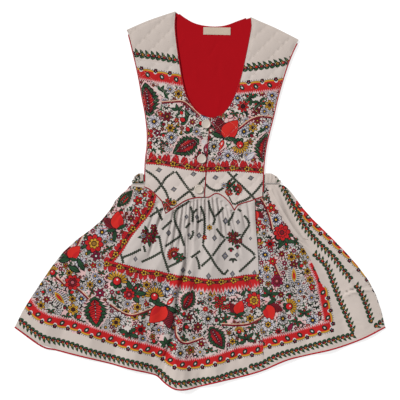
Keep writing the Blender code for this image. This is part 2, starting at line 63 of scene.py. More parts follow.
# The print's colours as they look on screen, from 0 to 255.
INKS = {
    "cloth": (191, 179, 171),
    "pale": (193, 182, 175),
    "white": (198, 186, 179),
    # shade: a ground darker than pale for the skirt's fields; over the lattice field it is partly painted
    # shade, standing in for the shadows of the gathers.
    "shade": (185, 176, 171),
    "petal": (196, 190, 190),
    "red": (176, 26, 28),
    "scarlet": (190, 36, 30),
    "wine": (116, 18, 32),
    "maroon": (54, 14, 18),
    "green": (34, 68, 42),
    "deep_green": (20, 36, 24),
    "yellow": (186, 138, 40),
    "ochre": (132, 92, 36),
    "orange": (164, 66, 36),
    "peach": (204, 162, 138),
    "pink": (204, 168, 166),
    "rose": (184, 92, 98),
    "magenta": (126, 22, 54),
    "lavender": (128, 124, 146),
    "blue": (70, 80, 108),
    "line": (24, 17, 19),
    "lattice": (50, 55, 46),
    "mark": (92, 87, 86),
    "lining": (160, 12, 22),
    "cord": (160, 20, 34),
    "tape": (190, 174, 156),
    "button": (194, 182, 170),
    "thread": (186, 172, 158),
}


def linear(ink):
    """A screen colour as the linear one that a material takes."""
    shares = [value / 255 for value in INKS[ink]]
    return [s / 12.92 if s <= 0.04045 else ((s + 0.055) / 1.055) ** 2.4 for s in shares]


def at(x, y):
    """A place on the chart as a point in the frame."""
    return complex(x - CHART_ZERO.real, CHART_ZERO.imag - y) * CHART_UNIT


def plotted(points):
    """Places on the chart as an outline in the frame."""
    return [at(x, y) for x, y in points]


def unit(angle):
    """The direction at an angle from the real axis."""
    return cmath.exp(1j * angle)


def curve(points, step):
    """Places about one step apart on a smooth curve through points in the plane or in space."""
    ends = [points[0] * 2 - points[1], *points, points[-1] * 2 - points[-2]]
    places = []
    for before, start, end, after in zip(ends, ends[1:], ends[2:], ends[3:]):
        gap = abs(end - start) if isinstance(start, complex) else (end - start).length
        count = max(1, round(gap / step))
        for index in range(count):
            t = index / count
            places.append(0.5 * (2 * start + (end - before) * t
                                 + (2 * before - 5 * start + 4 * end - after) * t * t
                                 + (3 * start - before - 3 * end + after) * t ** 3))
    return places + [points[-1]]


def route(step, *points):
    """A smooth curve through places on the chart."""
    return curve(plotted(points), step)


def headings(places):
    """The unit direction of a path at each of its places."""
    ahead = places[1:] + places[-1:]
    behind = places[:1] + places[:-1]
    return [(a - b) / (abs(a - b) or 1) for a, b in zip(ahead, behind)]


def evenly(places, spacing, start=0.5):
    """(place, heading) at even distances along a path, the first after a share of one spacing."""
    found = []
    due = spacing * start
    for a, b in zip(places, places[1:]):
        length = abs(b - a)
        while length and due <= length:
            found.append((a + (b - a) * due / length, (b - a) / length))
            due += spacing
        due -= length
    return found


def extent(places):
    """The least and the greatest x and y of places."""
    xs, ys = [p.real for p in places], [p.imag for p in places]
    return min(xs), max(xs), min(ys), max(ys)


def axes(places):
    """The x and the y of places, as two arrays."""
    table = np.array(places)
    return table.real, table.imag


def closed(outline):
    return outline + outline[:1]


def signed_area(outline):
    """The area of an outline in square millimetres, negative if it runs clockwise."""
    return 0.5 * sum((a.conjugate() * b).imag for a, b in zip(outline, outline[1:] + outline[:1]))


def leftward(outline):
    """The same outline, run counter-clockwise."""
    return outline[::-1] if signed_area(outline) < 0 else outline


def within(outline, xs, ys):
    """Which of the points lie inside an outline."""
    hits = np.zeros(xs.shape, bool)
    for a, b in zip(outline, outline[1:] + outline[:1]):
        if a.imag != b.imag:
            spans = (a.imag > ys) != (b.imag > ys)
            hits ^= spans & (xs < (b.real - a.real) * (ys - a.imag) / (b.imag - a.imag) + a.real)
    return hits


def stretches(places, xs, ys):
    """Each stretch of a path: its length, and for each point the nearest share of it and how far it is."""
    for a, b in zip(places, places[1:]):
        way = b - a
        if way:
            dx, dy = xs - a.real, ys - a.imag
            share = np.clip((dx * way.real + dy * way.imag) / abs(way) ** 2, 0, 1)
            yield abs(way), share, np.hypot(dx - share * way.real, dy - share * way.imag)


def distance(places, xs, ys):
    """How far points are from a path."""
    best = np.full(xs.shape, np.inf)
    for _, _, away in stretches(places, xs, ys):
        best = np.minimum(best, away)
    return best


def clear_inside(outline, xs, ys, margin):
    """Which of the points lie inside an outline and further than a margin from its edge."""
    return within(outline, xs, ys) & (distance(closed(outline), xs, ys) > margin)


# Outlines round 0, or from 0 along the real axis.

DRAWN_LINE = 1.5
FINE_PETALS_FROM = 10
SHORT_LEAF = 9
TEETH_RUN = 16


def ring(radius, corners):
    return [radius * unit(math.tau * index / corners) for index in range(corners)]


def oval(length, width, corners=8):
    return [complex(point.real * length / 2, point.imag * width / 2) for point in ring(1, corners)]


def petalled(radius, petals, waist):
    """An outline with round petals: waist is how far in they part, as a share of the radius."""
    fine = radius > FINE_PETALS_FROM
    petal = ((0, waist), (0.24, 0.93), (0.5, 1), (0.76, 0.93)) if fine else ((0, waist), (0.3, 1), (0.7, 1))
    return [radius * reach * unit(math.tau / petals * (index + share)) for index in range(petals)
            for share, reach in petal]


def pointed(radius, points, waist):
    """An outline of sharp points."""
    return [radius * (waist if index % 2 else 1) * unit(math.pi * index / points)
            for index in range(2 * points)]


def two_sided(side, length):
    """The outline with one side as given and the other as its mirror image, from 0 to a tip."""
    return [0j] + side + [complex(length, 0)] + [place.conjugate() for place in reversed(side)]


def leaf_shape(length, width, teeth=0):
    """A leaf with saw teeth along both sides if any."""
    side = []
    count = teeth or (4 if length > SHORT_LEAF else 3)
    for index in range(1, count):
        share = index / count
        half = width / 2 * math.sin(math.pi * share ** 0.85)
        side.append(complex(length * share, half))
        if teeth:
            side.append(complex(length * (share + 0.35 / count), half * 0.72))
    return two_sided(side, length)


def petal_shape(length, width):
    """A full petal, broad near its foot, with a drawn-out tip."""
    return two_sided([complex(length * share, width / 2 * math.sin(math.pi * share ** 0.7) ** 0.8)
                      for share in (0.06, 0.15, 0.28, 0.42, 0.56, 0.7, 0.82, 0.92)], length)


# Shapes: (ink, outline) pairs in lists, the lowest first.


def placed(shapes, place, turn=1):
    """Shapes turned, sized and set down at a place."""
    return [(ink, [place + point * turn for point in outline]) for ink, outline in shapes]


def layers(*rows):
    """Shapes from (ink, outline, how far along) rows."""
    return [(ink, [along + point for point in outline]) for ink, outline, along in rows]


def leaves(*rows):
    """Leaf shapes from (ink, length, width, how far along, teeth) rows."""
    return layers(*((ink, leaf_shape(length, width, *teeth), along)
                    for ink, length, width, along, *teeth in rows))


def around(count, start=0.0):
    """Directions all round."""
    return [unit(math.tau * (index + start) / count) for index in range(count)]


def fan(count, angle):
    """Directions spread evenly about the real axis."""
    return [unit((index - (count - 1) / 2) * angle) for index in range(count)]


def copied(shapes, ways, reach=0.0, foot=0.0):
    """Shapes drawn once in each direction, at a reach from the foot."""
    return [shape for way in ways for shape in placed(shapes, foot + way * reach, way)]


def stroke(ink, start, end, width, taper):
    """A straight mark that narrows to a share of its width, or to a point."""
    across = (end - start) * 1j / (abs(end - start) or 1) * width / 2
    far = [end - across * taper, end + across * taper] if taper else [end]
    return ink, [start - across, *far, start + across]


def ribs(ink, rows, lean, width, taper):
    """Strokes to both sides of the real axis, from (how far along, how far out) rows."""
    return [stroke(ink, along, along + complex(lean, out * side), width, taper) for along, out in rows
            for side in (-1, 1)]


def band(ink, places, left, right):
    """A strip along a path, between two distances to its left, one outline for each stretch."""
    sides = [heading * 1j for heading in headings(places)]
    return [(ink, [a + side_a * right, b + side_b * right, b + side_b * left, a + side_a * left])
            for a, b, side_a, side_b in zip(places, places[1:], sides, sides[1:])]


def serrated(ink, places, side, base, low, high, pitch, sway=0.0, shift=0):
    """A strip beside a path whose far edge runs in teeth of uneven length."""
    marks = evenly(places, pitch / 2, 0)
    shapes = []
    for first in range(0, len(marks) - 1, TEETH_RUN):
        near, far = [], []
        for number in range(first, min(first + TEETH_RUN + 1, len(marks))):
            place, way = marks[number]
            reach = low
            if (number + shift) % 2:
                swing = 0.5 + 0.5 * math.sin(0.4 * number + 1.3 * math.sin(number))
                reach = low + (high - low) * (1 - sway * swing)
            far.append(place + way * 1j * side * reach)
            near.append(place + way * 1j * side * base)
        shapes.append((ink, near[:-1:4] + near[-1:] + far[::-1]))
    return shapes


# Motifs: each is a list of shapes round 0 that points along the real axis. The larger ones are
# drawn a hundred units long or wide, and then sized.

LARGE_DAISY = 10.5
RAYED_FLOWER = 7.5
LARGE_CLUSTER = 14
PERCENT = 0.01


def flower(radius, petals=6, fill="petal", line="line", eye="yellow"):
    """A small round flower, as the field has many of."""
    edge = min(DRAWN_LINE, radius * 0.2)
    shapes = [(line, petalled(radius, petals, 0.66)), (fill, petalled(radius - edge, petals, 0.46))]
    if radius > RAYED_FLOWER:
        ray = [stroke(line, radius * 0.3, radius * 0.74, radius * 0.14, 0.35)]
        shapes += copied(ray, around(petals, 0.5))
    return shapes + [("line", ring(radius * 0.4, 7)), (eye, ring(radius * 0.22, 6))]


def daisy(radius, petals=9, shade="lavender"):
    """A pale flower of separate drawn petals round a dark eye."""
    width = 2 * radius * math.sin(math.pi / petals) * 0.92
    edge = min(1.15, width * 0.24)
    mark = [stroke(shade, -radius * 0.3, radius * 0.24, width * 0.34, 0)]
    if radius > LARGE_DAISY:
        shapes = []
        inside = ("petal", oval(radius * 0.76 - 2 * edge, width * 0.96 - 2 * edge))
        for index, way in enumerate(around(petals)):
            petal = [("line" if index % 3 else shade, oval(radius * 0.78, width)), inside] + mark
            shapes += placed(petal, way * radius * 0.62, way)
    else:
        shapes = [("line", petalled(radius, petals, 0.6)), ("petal", petalled(radius - edge, petals, 0.32))]
        shapes += copied(mark, around(petals, 0.5), radius * 0.62)
    return shapes + [("line", pointed(radius * 0.42, 5, 0.7)), ("yellow", ring(radius * 0.17, 6))]


def star(radius, fill="red", eye="yellow"):
    return [("maroon", pointed(radius, 7, 0.58)), (fill, pointed(radius * 0.88, 7, 0.46)),
            ("line", ring(radius * 0.32, 6)), (eye, ring(radius * 0.17, 5))]


def blossom(radius):
    """A pale flower with no marked eye."""
    return [("pink", petalled(radius, 5, 0.8)), ("petal", petalled(radius * 0.8, 5, 0.8))]


def plain_leaf(length, width, fill="green", teeth=0, line="line"):
    """A leaf with a drawn edge, from 0."""
    return leaves((line, length, width, 0, teeth), (fill, length * 0.82, width * 0.66, length * 0.08, teeth))


def leaf(length, width=None, fill="green", teeth=0, line="line"):
    """The same with its middle vein."""
    width = width or length * 0.45
    return plain_leaf(length, width, fill, teeth, line) + [stroke(line, 0, length * 0.7, width * 0.12, 0.2)]


def blade(size, fill="deep_green"):
    return placed(plain_leaf(size * 2, size * 0.9, fill), -size)


def speck(size, ink="line"):
    return [(ink, ring(size, 4))]


def sprig(size, fill="green", count=3):
    """A few small leaves from one foot."""
    return copied(plain_leaf(size * 1.15, size * 0.56, fill), fan(count, 1.0), 0, -size * 0.5)


def trefoil(size, fill="line"):
    """Three round leaves."""
    return copied([(fill, oval(size * 1.2, size * 0.86, 5))], around(3), size * 0.52)


def fruit(size, fill="red"):
    """A small round bloom held by two dark leaves."""
    bloom = layers(("line", oval(size * 1.35, size * 1.15), size * 0.25),
                   (fill, oval(size * 1.0, size * 0.8, 7), size * 0.3))
    return copied(plain_leaf(size * 1.5, size * 0.8), fan(2, 1.6), 0, -size * 0.7) + bloom


def bud(length, fill):
    """A closed flower held by two leaves."""
    foot = copied(plain_leaf(length * 0.5, length * 0.24), fan(2, 1.4), 0, -length * 0.35)
    return placed(leaf(length * 0.8, length * 0.36, fill), -length * 0.3) + foot


def rosette(radius, outer="red", middle="yellow", heart="ochre", count=3):
    """A full flower of three rings of petals, with leaves on one side."""
    shapes = copied(plain_leaf(radius * 0.8, radius * 0.5, teeth=4),
                    [unit(2.4 + 0.75 * index) for index in range(count)], radius * 0.6)
    shapes += [("line", petalled(radius, 8, 0.8)), (outer, petalled(radius * 0.92, 8, 0.7))]
    for index, way in enumerate(around(16)):
        reach = 0.66 if index % 2 else 0.86
        shapes += placed([stroke("maroon", radius * 0.5, radius * reach, radius * 0.06, 0.3)], 0, way)
    inner = [("line", petalled(radius * 0.58, 7, 0.75)), (middle, petalled(radius * 0.5, 7, 0.68))]
    shapes += placed(inner, 0, 1j)
    return shapes + [("line", ring(radius * 0.3, 8)), (heart, ring(radius * 0.21, 7))]


def crown(radius, fill="yellow", heart="red"):
    """A flower seen from the side: a fan of petals over a heart and a scalloped foot."""
    petal = [("line", oval(74, 33)), (fill, oval(58, 20)), stroke("ochre", -25, 10, 7, 0.3)]
    sepal = [("line", oval(72, 50)), ("green", oval(58, 36))]
    shapes = copied(petal, fan(9, 0.3625), 66) + copied(sepal, [-way for way in fan(3, 0.75)], 42)
    shapes += layers(("line", ring(45, 9), 0), (heart, ring(35, 8), 0), ("petal", ring(10, 5), 14))
    return placed(shapes, 0, radius * PERCENT)


def tulip(radius):
    """A large open tulip: a smooth bright petal, a hatched dark one, rays and leaves at the foot."""
    rays = copied([stroke("rose", 90, 180, 10, 0)], [unit((index - 3) * 0.24) for index in range(9)])
    dark = leaves(("line", 166, 112, 0, 8), ("wine", 154, 98, 5, 8))
    dark += ribs("maroon", [(26 + 15 * index, 36) for index in range(8)], 22, 7.5, 0.3)
    bright = layers(("maroon", petal_shape(172, 130), 0), ("scarlet", petal_shape(162, 118), 5),
                    ("red", petal_shape(100, 36), 30 - 28j))
    foot = copied(leaf(110, 46, teeth=5), fan(2, 2.8), 0, -5)
    shapes = rays + placed(dark, 0, unit(0.55)) + placed(bright, 0, unit(-0.4)) + foot
    return placed(shapes, -radius * 0.6, radius * PERCENT)


def seeded_leaf(length, width=66, pod="wine"):
    """A large toothed leaf that holds a pod with rows of seeds, with a rosy saw edge round it."""
    veins = [(10 + 10 * row, width * 0.5 * math.sin(math.pi * min(0.97, 0.22 + 0.1 * row)))
             for row in range(8)]
    seeds = [(16 + 7 * row, width * 0.29 * math.sin(math.pi * (0.16 + 0.07 * row))) for row in range(9)]
    shapes = leaves(("pink", 110, width * 1.24, -4, 15), ("line", 100, width * 1.12, 0, 9),
                    ("green", 95, width * 0.98, 2, 9))
    shapes += ribs("line", veins, 10, 3.4, 0.5)
    shapes += leaves(("line", 80, width * 0.7, 8, 6), (pod, 74, width * 0.58, 10.5, 6))
    shapes += leaves(*(("red", 40, width * 0.13, complex(27, width * 0.15 * side)) for side in (-1, 1)))
    shapes += ribs("maroon", seeds, 7, 2.6, 0.4) + [stroke("line", 12, 80, 4, 0.4)]
    shapes += layers(*(("petal", ring(1.4, 4), 24 + 10 * row) for row in range(5)))
    return placed(shapes, -length / 2, length * PERCENT)


def paisley(length):
    """A pointed drop with a rim of dark rays."""
    shapes = []
    for row in range(9):
        start = 8 + 10 * row
        out = 27 * math.sin(math.pi * (start * PERCENT) ** 0.85) + 6
        for side, ink in ((-1, "deep_green"), (1, "blue")):
            shapes.append(stroke("line", start, start + complex(5, out * side), 7.5, 0.5))
            shapes.append(stroke(ink, start, start + complex(5, out * 0.9 * side), 3.5, 0.6))
    shapes += leaves(("petal", 86, 33, 7), ("line", 80, 28, 10), ("yellow", 74, 23, 13), ("line", 46, 14, 24),
                     ("red", 40, 10, 27))
    return placed(shapes, -length / 2, length * PERCENT)


def pepper(length, fill="scarlet"):
    """A long red pod with a light glint."""
    shapes = leaves(("maroon", 100, 40, -50), (fill, 88, 28, -44))
    shapes += layers(("petal", oval(26, 8, 6), -10), ("line", oval(22, 20, 6), -48))
    return placed(shapes, 0, length * PERCENT)


def bouquet(radius, berry="wine"):
    """A loose bunch of small dark red flowers with leaves."""
    shapes = copied(plain_leaf(radius * 1.15, radius * 0.45, teeth=4), map(unit, (0.4, 1.7, 3.2, 4.6, 5.6)))
    for reach, angle in ((0.55, 0.9), (0.62, 2.4), (0.55, 3.9), (0.66, 5.2), (0.95, 5.8), (0.0, 0)):
        shapes += placed(flower(radius * 0.37, 5, berry, "maroon", "ochre"), radius * reach * unit(angle))
    return shapes


def cluster(radius, fill="green"):
    """A spray of green leaves, toothed if large, with small red buds between them."""
    shapes = []
    for index, way in enumerate(fan(5, 0.95)):
        length, width = radius * (1.15 if index % 2 else 0.95), radius * 0.56
        large = radius > LARGE_CLUSTER
        shapes += placed(leaf(length, width, fill, 4) if large else plain_leaf(length, width, fill), 0, way)
    buds = [("line", oval(radius * 0.34, radius * 0.26, 7)), ("red", oval(radius * 0.24, radius * 0.16, 6))]
    return shapes + copied(buds, fan(3, 1.4), radius * 0.5)


def diamond(size, squeeze=0.82):
    """The small drawn mark in the middle of a lattice field."""
    corners = [size, size * squeeze * 1j, -size, -size * squeeze * 1j]
    rings = ((1.0, "lattice"), (0.8, "mark"), (0.6, "lavender"), (0.46, "lattice"), (0.2, "pale"))
    shapes = [(ink, [corner * share for corner in corners]) for share, ink in rings]
    return shapes + [stroke("lattice", corner * 0.6, corner * 1.1, size * 0.16, 0.4) for corner in corners]


# Borders and lines: each is a list of shapes along a path.

STEM_STEP = 5
BORDER_STEP = 6
STEM_WIDTH = 4.2
SCALLOP_RISE = 4.8
PETAL_PITCH = 6.2
LONE_PETAL_PITCH = 100
BERRIES = ("orange", "wine", "red", "ochre", "wine")


def stem(places):
    """A dark red stem with a peach light beside it."""
    shapes = []
    for ink, left, right in (("peach", 0.86, -0.3), ("maroon", 0.42, -0.42), ("wine", 0.26, -0.28)):
        shapes += band(ink, places, STEM_WIDTH * left, STEM_WIDTH * right)
    return shapes


def lattice_line(places):
    """A drawn line of the lattice: a dark twist of short slanting leaves."""
    shapes = []
    for shift, side in enumerate((-1, 1)):
        shapes += serrated("lattice", places, side, -0.3, 1.5, 3.5, 4.4, 0.3, shift)
    return shapes


def vine(places, spacing, length, flip=1):
    """A border of berries, each under a round dark leaf, with a slender leaf on the other side."""
    slim = unit(-0.95)
    under = placed([("line", oval(length * 1.08, length * 0.78))], length * 0.16j, unit(0.7))
    under += placed([("green", oval(length * 0.8, length * 0.46))], length * 0.26j, unit(0.7))
    under += placed(plain_leaf(length * 1.12, length * 0.5), -slim * length * 0.1, slim)
    under.append(("line", oval(length * 0.56, length * 0.48, 8)))
    glint = stroke("yellow", slim * length * 0.12, slim * length * 0.34, 1.3, 0.4)
    shapes = []
    for number, (place, way) in enumerate(evenly(places, spacing)):
        berry = (BERRIES[number % len(BERRIES)], oval(length * 0.42, length * 0.35, 7))
        shapes += placed(under + [berry, glint], place, way * flip)
    return shapes


def scalloped(places, width, spacing, side=1, start=0.5):
    """A red band: fine teeth on one side, yellow scallops and half flowers on the other, beads along it."""
    half = width / 2
    shapes = []
    for ink, low, high in (("pink", 2.4, 9.0), ("rose", 1.2, 6.4), ("red", -0.4, 4.6)):
        shapes += serrated(ink, places, -side, half - 1, half + low, half + high, 4.0, 0.4)
    shapes += band("red", places, half, -half)
    bead = [("line", oval(12.0, 9.0)), ("green", oval(9.0, 6.2)), ("line", oval(6.6, 4.4, 6)),
            ("petal", oval(4.8, 2.8, 6))]
    for place, way in evenly(places, spacing, start):
        out = way * 1j * side
        foot = place + out * (half - 1.2)
        for ink, grow in (("line", 2.2), ("yellow", 1.4), ("red", -1.5)):
            long, tall = way * (spacing * 0.5 + grow * 0.4), out * (SCALLOP_RISE + grow)
            shapes.append((ink, [foot + long * math.cos(angle) + tall * math.sin(angle)
                                 for angle in np.linspace(0, math.pi, 9)]))
        for share in (-0.27, -0.09, 0.09, 0.27):
            crest = out * (SCALLOP_RISE * math.sqrt(1 - 4 * share * share) + 3.6)
            shapes += placed([("line", ring(1.05, 4))], foot + crest + way * spacing * share)
        shapes += placed(bead, place + out * 0.8, way * unit(-0.9 * side))
    half_flower = layers(("petal", ring(3.6, 7), half + 1.2), ("line", petalled(4.6, 5, 0.8), half + 4.6),
                         ("wine", ring(1.7, 6), half + 5.0), ("lavender", ring(0.9, 5), half + 3.4))
    for place, way in evenly(places, spacing, start + 0.5 if start < 0.5 else start - 0.5):
        shapes += placed(half_flower, place, way * 1j * side)
    return shapes


def fringed(places, side, fringe, sharp):
    """The upper edge of a red border: rounded petals, or sharp teeth with a lone petal here and there."""
    shapes = []
    if sharp:
        for ink, share, more in (("pink", 0.9, 10), ("rose", 0.8, 7), ("red", 0.6, 5)):
            shapes += serrated(ink, places, side, 1, fringe * share, fringe + more, 6.6, 0.5)
    else:
        shapes += serrated("pink", places, side, 1, fringe * 0.6, fringe + 6.5, PETAL_PITCH)
    for number, (place, way) in enumerate(evenly(places, LONE_PETAL_PITCH if sharp else PETAL_PITCH)):
        swing = 0.5 + 0.5 * math.sin(0.8 * number + 1.3 * math.sin(0.37 * number))
        length = 5 + fringe * (0.45 + 0.55 * swing)
        out = way * 1j * side * unit(0.35 * math.sin(1.9 * number))
        petal = layers(("wine", oval(length + 1.8, 8.2, 7), length / 2),
                       ("red", oval(length - 0.6, 5.4, 7), length / 2))
        petal.append(stroke("maroon", 0, length * 0.7, 1.8, 0))
        shapes += placed(petal, place + out, out)
    return shapes


def flowered(places, spacing, side, fringe, lower=5, sharp=False):
    """A red border: petals fan out on one side, and a dark chain with yellow flowers runs along it."""
    shapes = fringed(places, -side, fringe, sharp)
    for ink, low, high in (("wine", 1.2, 3.4), ("red", 0.4, 2.0)):
        shapes += serrated(ink, places, side, lower - 2, lower + low, lower + high, 4.6)
    across = [place + way * 1j * side * (lower - 4) / 2 for place, way in zip(places, headings(places))]
    shapes += band("red", across, (lower + 4) / 2, -(lower + 4) / 2) + band("maroon", places, 2.8, -2.8)
    for number, (place, way) in enumerate(evenly(places, spacing / 3)):
        if number % 3:
            link_leaf = placed(plain_leaf(10, 6.2, "ochre" if number % 3 == 1 else "wine"), -5)
            shapes += placed(link_leaf, place, way * unit(0.5 if number % 2 else -0.5))
        else:
            shapes += placed(flower(6.9, 5, "yellow", "line", "maroon"), place, way)
    return shapes


# The motifs by name, with the colours and counts that each comes in.
STYLES = {
    "daisy": partial(daisy), "blue daisy": partial(daisy, petals=8, shade="blue"),
    "grey daisy": partial(daisy, petals=10, shade="mark"),
    "dark daisy": partial(daisy, petals=7, shade="line"),
    "pale flower": partial(flower, eye="petal"), "grey flower": partial(flower, petals=7, line="mark"),
    "yellow flower": partial(flower, fill="yellow", eye="maroon"),
    "ochre flower": partial(flower, petals=5, fill="ochre", eye="red"),
    "red flower": partial(flower, petals=5, fill="red", line="maroon"),
    "round flower": partial(flower, petals=8, fill="red", line="maroon", eye="maroon"),
    "scarlet flower": partial(flower, petals=5, fill="scarlet", line="maroon"),
    "wine flower": partial(flower, fill="wine", line="maroon", eye="ochre"),
    "magenta flower": partial(flower, petals=5, fill="magenta", line="maroon", eye="petal"),
    "star": partial(star), "wine star": partial(star, fill="wine"),
    "magenta star": partial(star, fill="magenta", eye="petal"),
    "leaf": partial(leaf), "toothed leaf": partial(leaf, teeth=4),
    "pale leaf": partial(leaf, fill="petal", line="lavender"),
    "sprig": partial(sprig), "full sprig": partial(sprig, count=5),
    "grey sprig": partial(sprig, fill="lattice"), "dark sprig": partial(sprig, fill="deep_green", count=4),
    "trefoil": partial(trefoil), "green trefoil": partial(trefoil, fill="green"),
    "wine trefoil": partial(trefoil, fill="wine"),
    "fruit": partial(fruit), "wine fruit": partial(fruit, fill="wine"),
    "rosette": partial(rosette), "red rosette": partial(rosette, middle="red", heart="wine"),
    "wine rosette": partial(rosette, middle="wine", heart="rose", count=0),
    "magenta rosette": partial(rosette, outer="magenta", middle="wine", heart="rose", count=0),
    "crown": partial(crown), "red crown": partial(crown, fill="red", heart="wine"),
    "tulip": partial(tulip), "paisley": partial(paisley), "seeded leaf": partial(seeded_leaf),
    "narrow leaf": partial(seeded_leaf, width=48, pod="green"),
    "red seeded leaf": partial(seeded_leaf, width=72, pod="red"),
    "ochre bud": partial(bud, fill="ochre"), "magenta bud": partial(bud, fill="magenta"),
    "pepper": partial(pepper), "magenta pepper": partial(pepper, fill="magenta"),
    "bouquet": partial(bouquet), "red bouquet": partial(bouquet, berry="red"),
    "cluster": partial(cluster), "grey cluster": partial(cluster, fill="lattice"),
    "blade": partial(blade), "grey blade": partial(blade, fill="mark"), "blossom": partial(blossom),
    "speck": partial(speck), "wine speck": partial(speck, ink="wine"),
    "green speck": partial(speck, ink="deep_green"),
}

# The room that a motif takes, as a share of its size. Those drawn longer than wide take less.
ROUND_ROOM = 0.8
SLIM_ROOM = {seeded_leaf: 0.38, paisley: 0.34, bud: 0.3, pepper: 0.3, leaf: 0.16, cluster: 0.6}
FILLER_ROOM = 0.78


class Room:
    """Circles taken on the cloth, kept by squares so that a free spot is found quickly."""

    SQUARE = 14.0

    def __init__(self):
        self.squares = {}

    def around(self, place, radius):
        x0, x1 = (int((place.real + s * radius) // self.SQUARE) for s in (-1, 1))
        y0, y1 = (int((place.imag + s * radius) // self.SQUARE) for s in (-1, 1))
        return [(x, y) for x in range(x0, x1 + 1) for y in range(y0, y1 + 1)]

    def take(self, place, radius):
        for square in self.around(place, radius):
            self.squares.setdefault(square, []).append((place, radius))

    def cover(self, shapes):
        """Takes the room of shapes that are drawn later, but for their fringe."""
        for _, shape in shapes:
            middle = sum(shape) / len(shape)
            self.take(middle, min(abs(point - middle) for point in shape) * 0.9)

    def free(self, place, radius):
        return not any(abs(other - place) < reach + radius for square in self.around(place, radius)
                       for other, reach in self.squares.get(square, ()))


# Small motifs that fill a flower field: radius, tries for each 300 square centimetres, and styles.
FILLERS = (
    (12.5, 80, ("daisy", "blue daisy", "grey daisy", "cluster", "cluster")),
    (9.4, 300, ("daisy", "yellow flower", "wine star", "grey flower", "cluster", "cluster", "wine flower")),
    (6.8, 900, ("red flower", "full sprig", "pale flower", "fruit", "wine fruit", "dark sprig", "dark daisy",
                "ochre flower", "dark sprig", "magenta star")),
    (4.7, 2400, ("sprig", "trefoil", "trefoil", "green trefoil", "pale flower", "dark sprig",
                 "magenta flower", "wine flower")),
    (2.9, 5500, ("trefoil", "green trefoil", "wine trefoil", "blade", "grey blade")),
    (1.7, 5200, ("speck", "wine speck", "green speck")),
)
# The same for the hidden back, where the print is sparser and plainer.
BACK_FILLERS = (
    (12.5, 22, ("red flower", "daisy", "wine flower", "fruit")),
    (7.2, 70, ("ochre flower", "sprig", "dark sprig", "red flower", "wine fruit")),
    (4.2, 110, ("trefoil", "green trefoil", "wine trefoil")),
)
FILLER_AREA = 30000
BLUSHES = 40


def scatter(draw, outline, number):
    """Random places inside an outline: so many for each 300 square centimetres round it."""
    left, right, low, high = extent(outline)
    number = int(number * (right - left) * (high - low) / FILLER_AREA)
    spots = [complex(draw.uniform(left, right), draw.uniform(low, high)) for _ in range(number)]
    return [spot for spot, held in zip(spots, within(outline, *axes(spots))) if held]


def blushes(outline, seed):
    """Pale rosy patches with a ragged edge, under a flower field."""
    draw = random.Random(seed)
    shapes = []
    for place in scatter(draw, outline, BLUSHES):
        blush = [("pink", pointed(draw.uniform(7, 14), 8, 0.74))]
        shapes += placed(blush, place, unit(draw.uniform(0, 6)))
    return shapes


def filled(outline, room, seed, fillers=FILLERS):
    """A field of small flowers and leaves, clear of what has taken its room."""
    draw = random.Random(seed)
    shapes = []
    for radius, tries, kinds in fillers:
        for place in scatter(draw, outline, tries):
            size = radius * draw.uniform(0.86, 1.12)
            if room.free(place, size * FILLER_ROOM):
                room.take(place, size * FILLER_ROOM)
                style = draw.choice(kinds)
                shapes += placed(STYLES[style](size), place, unit(draw.uniform(0, math.tau)))
    return shapes


def motifs(table, room=None):
    """A table of motifs, (x, y, size, degrees) by style. The room that they take is noted if asked."""
    shapes = []
    for style, rows in table.items():
        for x, y, size, *degrees in rows:
            shapes += placed(STYLES[style](size), at(x, y), unit(math.radians(sum(degrees))))
            if room:
                room.take(at(x, y), size * SLIM_ROOM.get(STYLES[style].func, ROUND_ROOM))
    return shapes


def drawn(borders):
    """Borders from (kind, its sizes, the places along it) rows."""
    return [shape for kind, sizes, points in borders for shape in kind(route(BORDER_STEP, *points), *sizes)]


def flower_field(outline, seed, large, stems, edging):
    """Blushes, small motifs, stems and large motifs in a field, with the borders' room left free."""
    room = Room()
    over = motifs(large, room)
    room.cover(edging)
    under = blushes(outline, seed) + filled(outline, room, seed)
    for points in stems:
        under += stem(route(STEM_STEP, *points))
    return under + over


# The frame's solids as surfaces.

RELIEF_STEP = 1
RAY_STEP = 2
RELIEF_MARGIN = 6.0
SAME_PLACE = 0.01
UPWARD = 0.35
CREASE_REACH = 2.5


def solid_mesh(node):
    """A solid's mesh with its shared corners joined."""
    bm = bmesh.new()
    bm.from_mesh(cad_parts[node].data)
    bmesh.ops.remove_doubles(bm, verts=bm.verts, dist=SAME_PLACE * MM)
    return bm


def rim(node):
    """The longest closed outline (place, height) of a solid's upper face."""
    bm = solid_mesh(node)
    bm.normal_update()
    ahead = {}
    for edge in bm.edges:
        upper = [face for face in edge.link_faces if face.normal.z > UPWARD]
        if len(edge.link_faces) == 2 and len(upper) == 1:
            loop = next(item for item in edge.link_loops if item.face == upper[0])
            ahead[loop.vert.index] = loop.link_loop_next.vert.index
    places = {vert.index: (complex(vert.co.x, vert.co.y) / MM, vert.co.z / MM) for vert in bm.verts}
    bm.free()
    found = []
    while ahead:
        start, here = next(iter(ahead.items()))
        del ahead[start]
        chain = [start]
        while here in ahead:
            chain.append(here)
            here = ahead.pop(here)
        found.append([places[index] for index in chain])
    return max(found, key=len)


def rim_outline(node):
    return [place for place, _ in rim(node)]


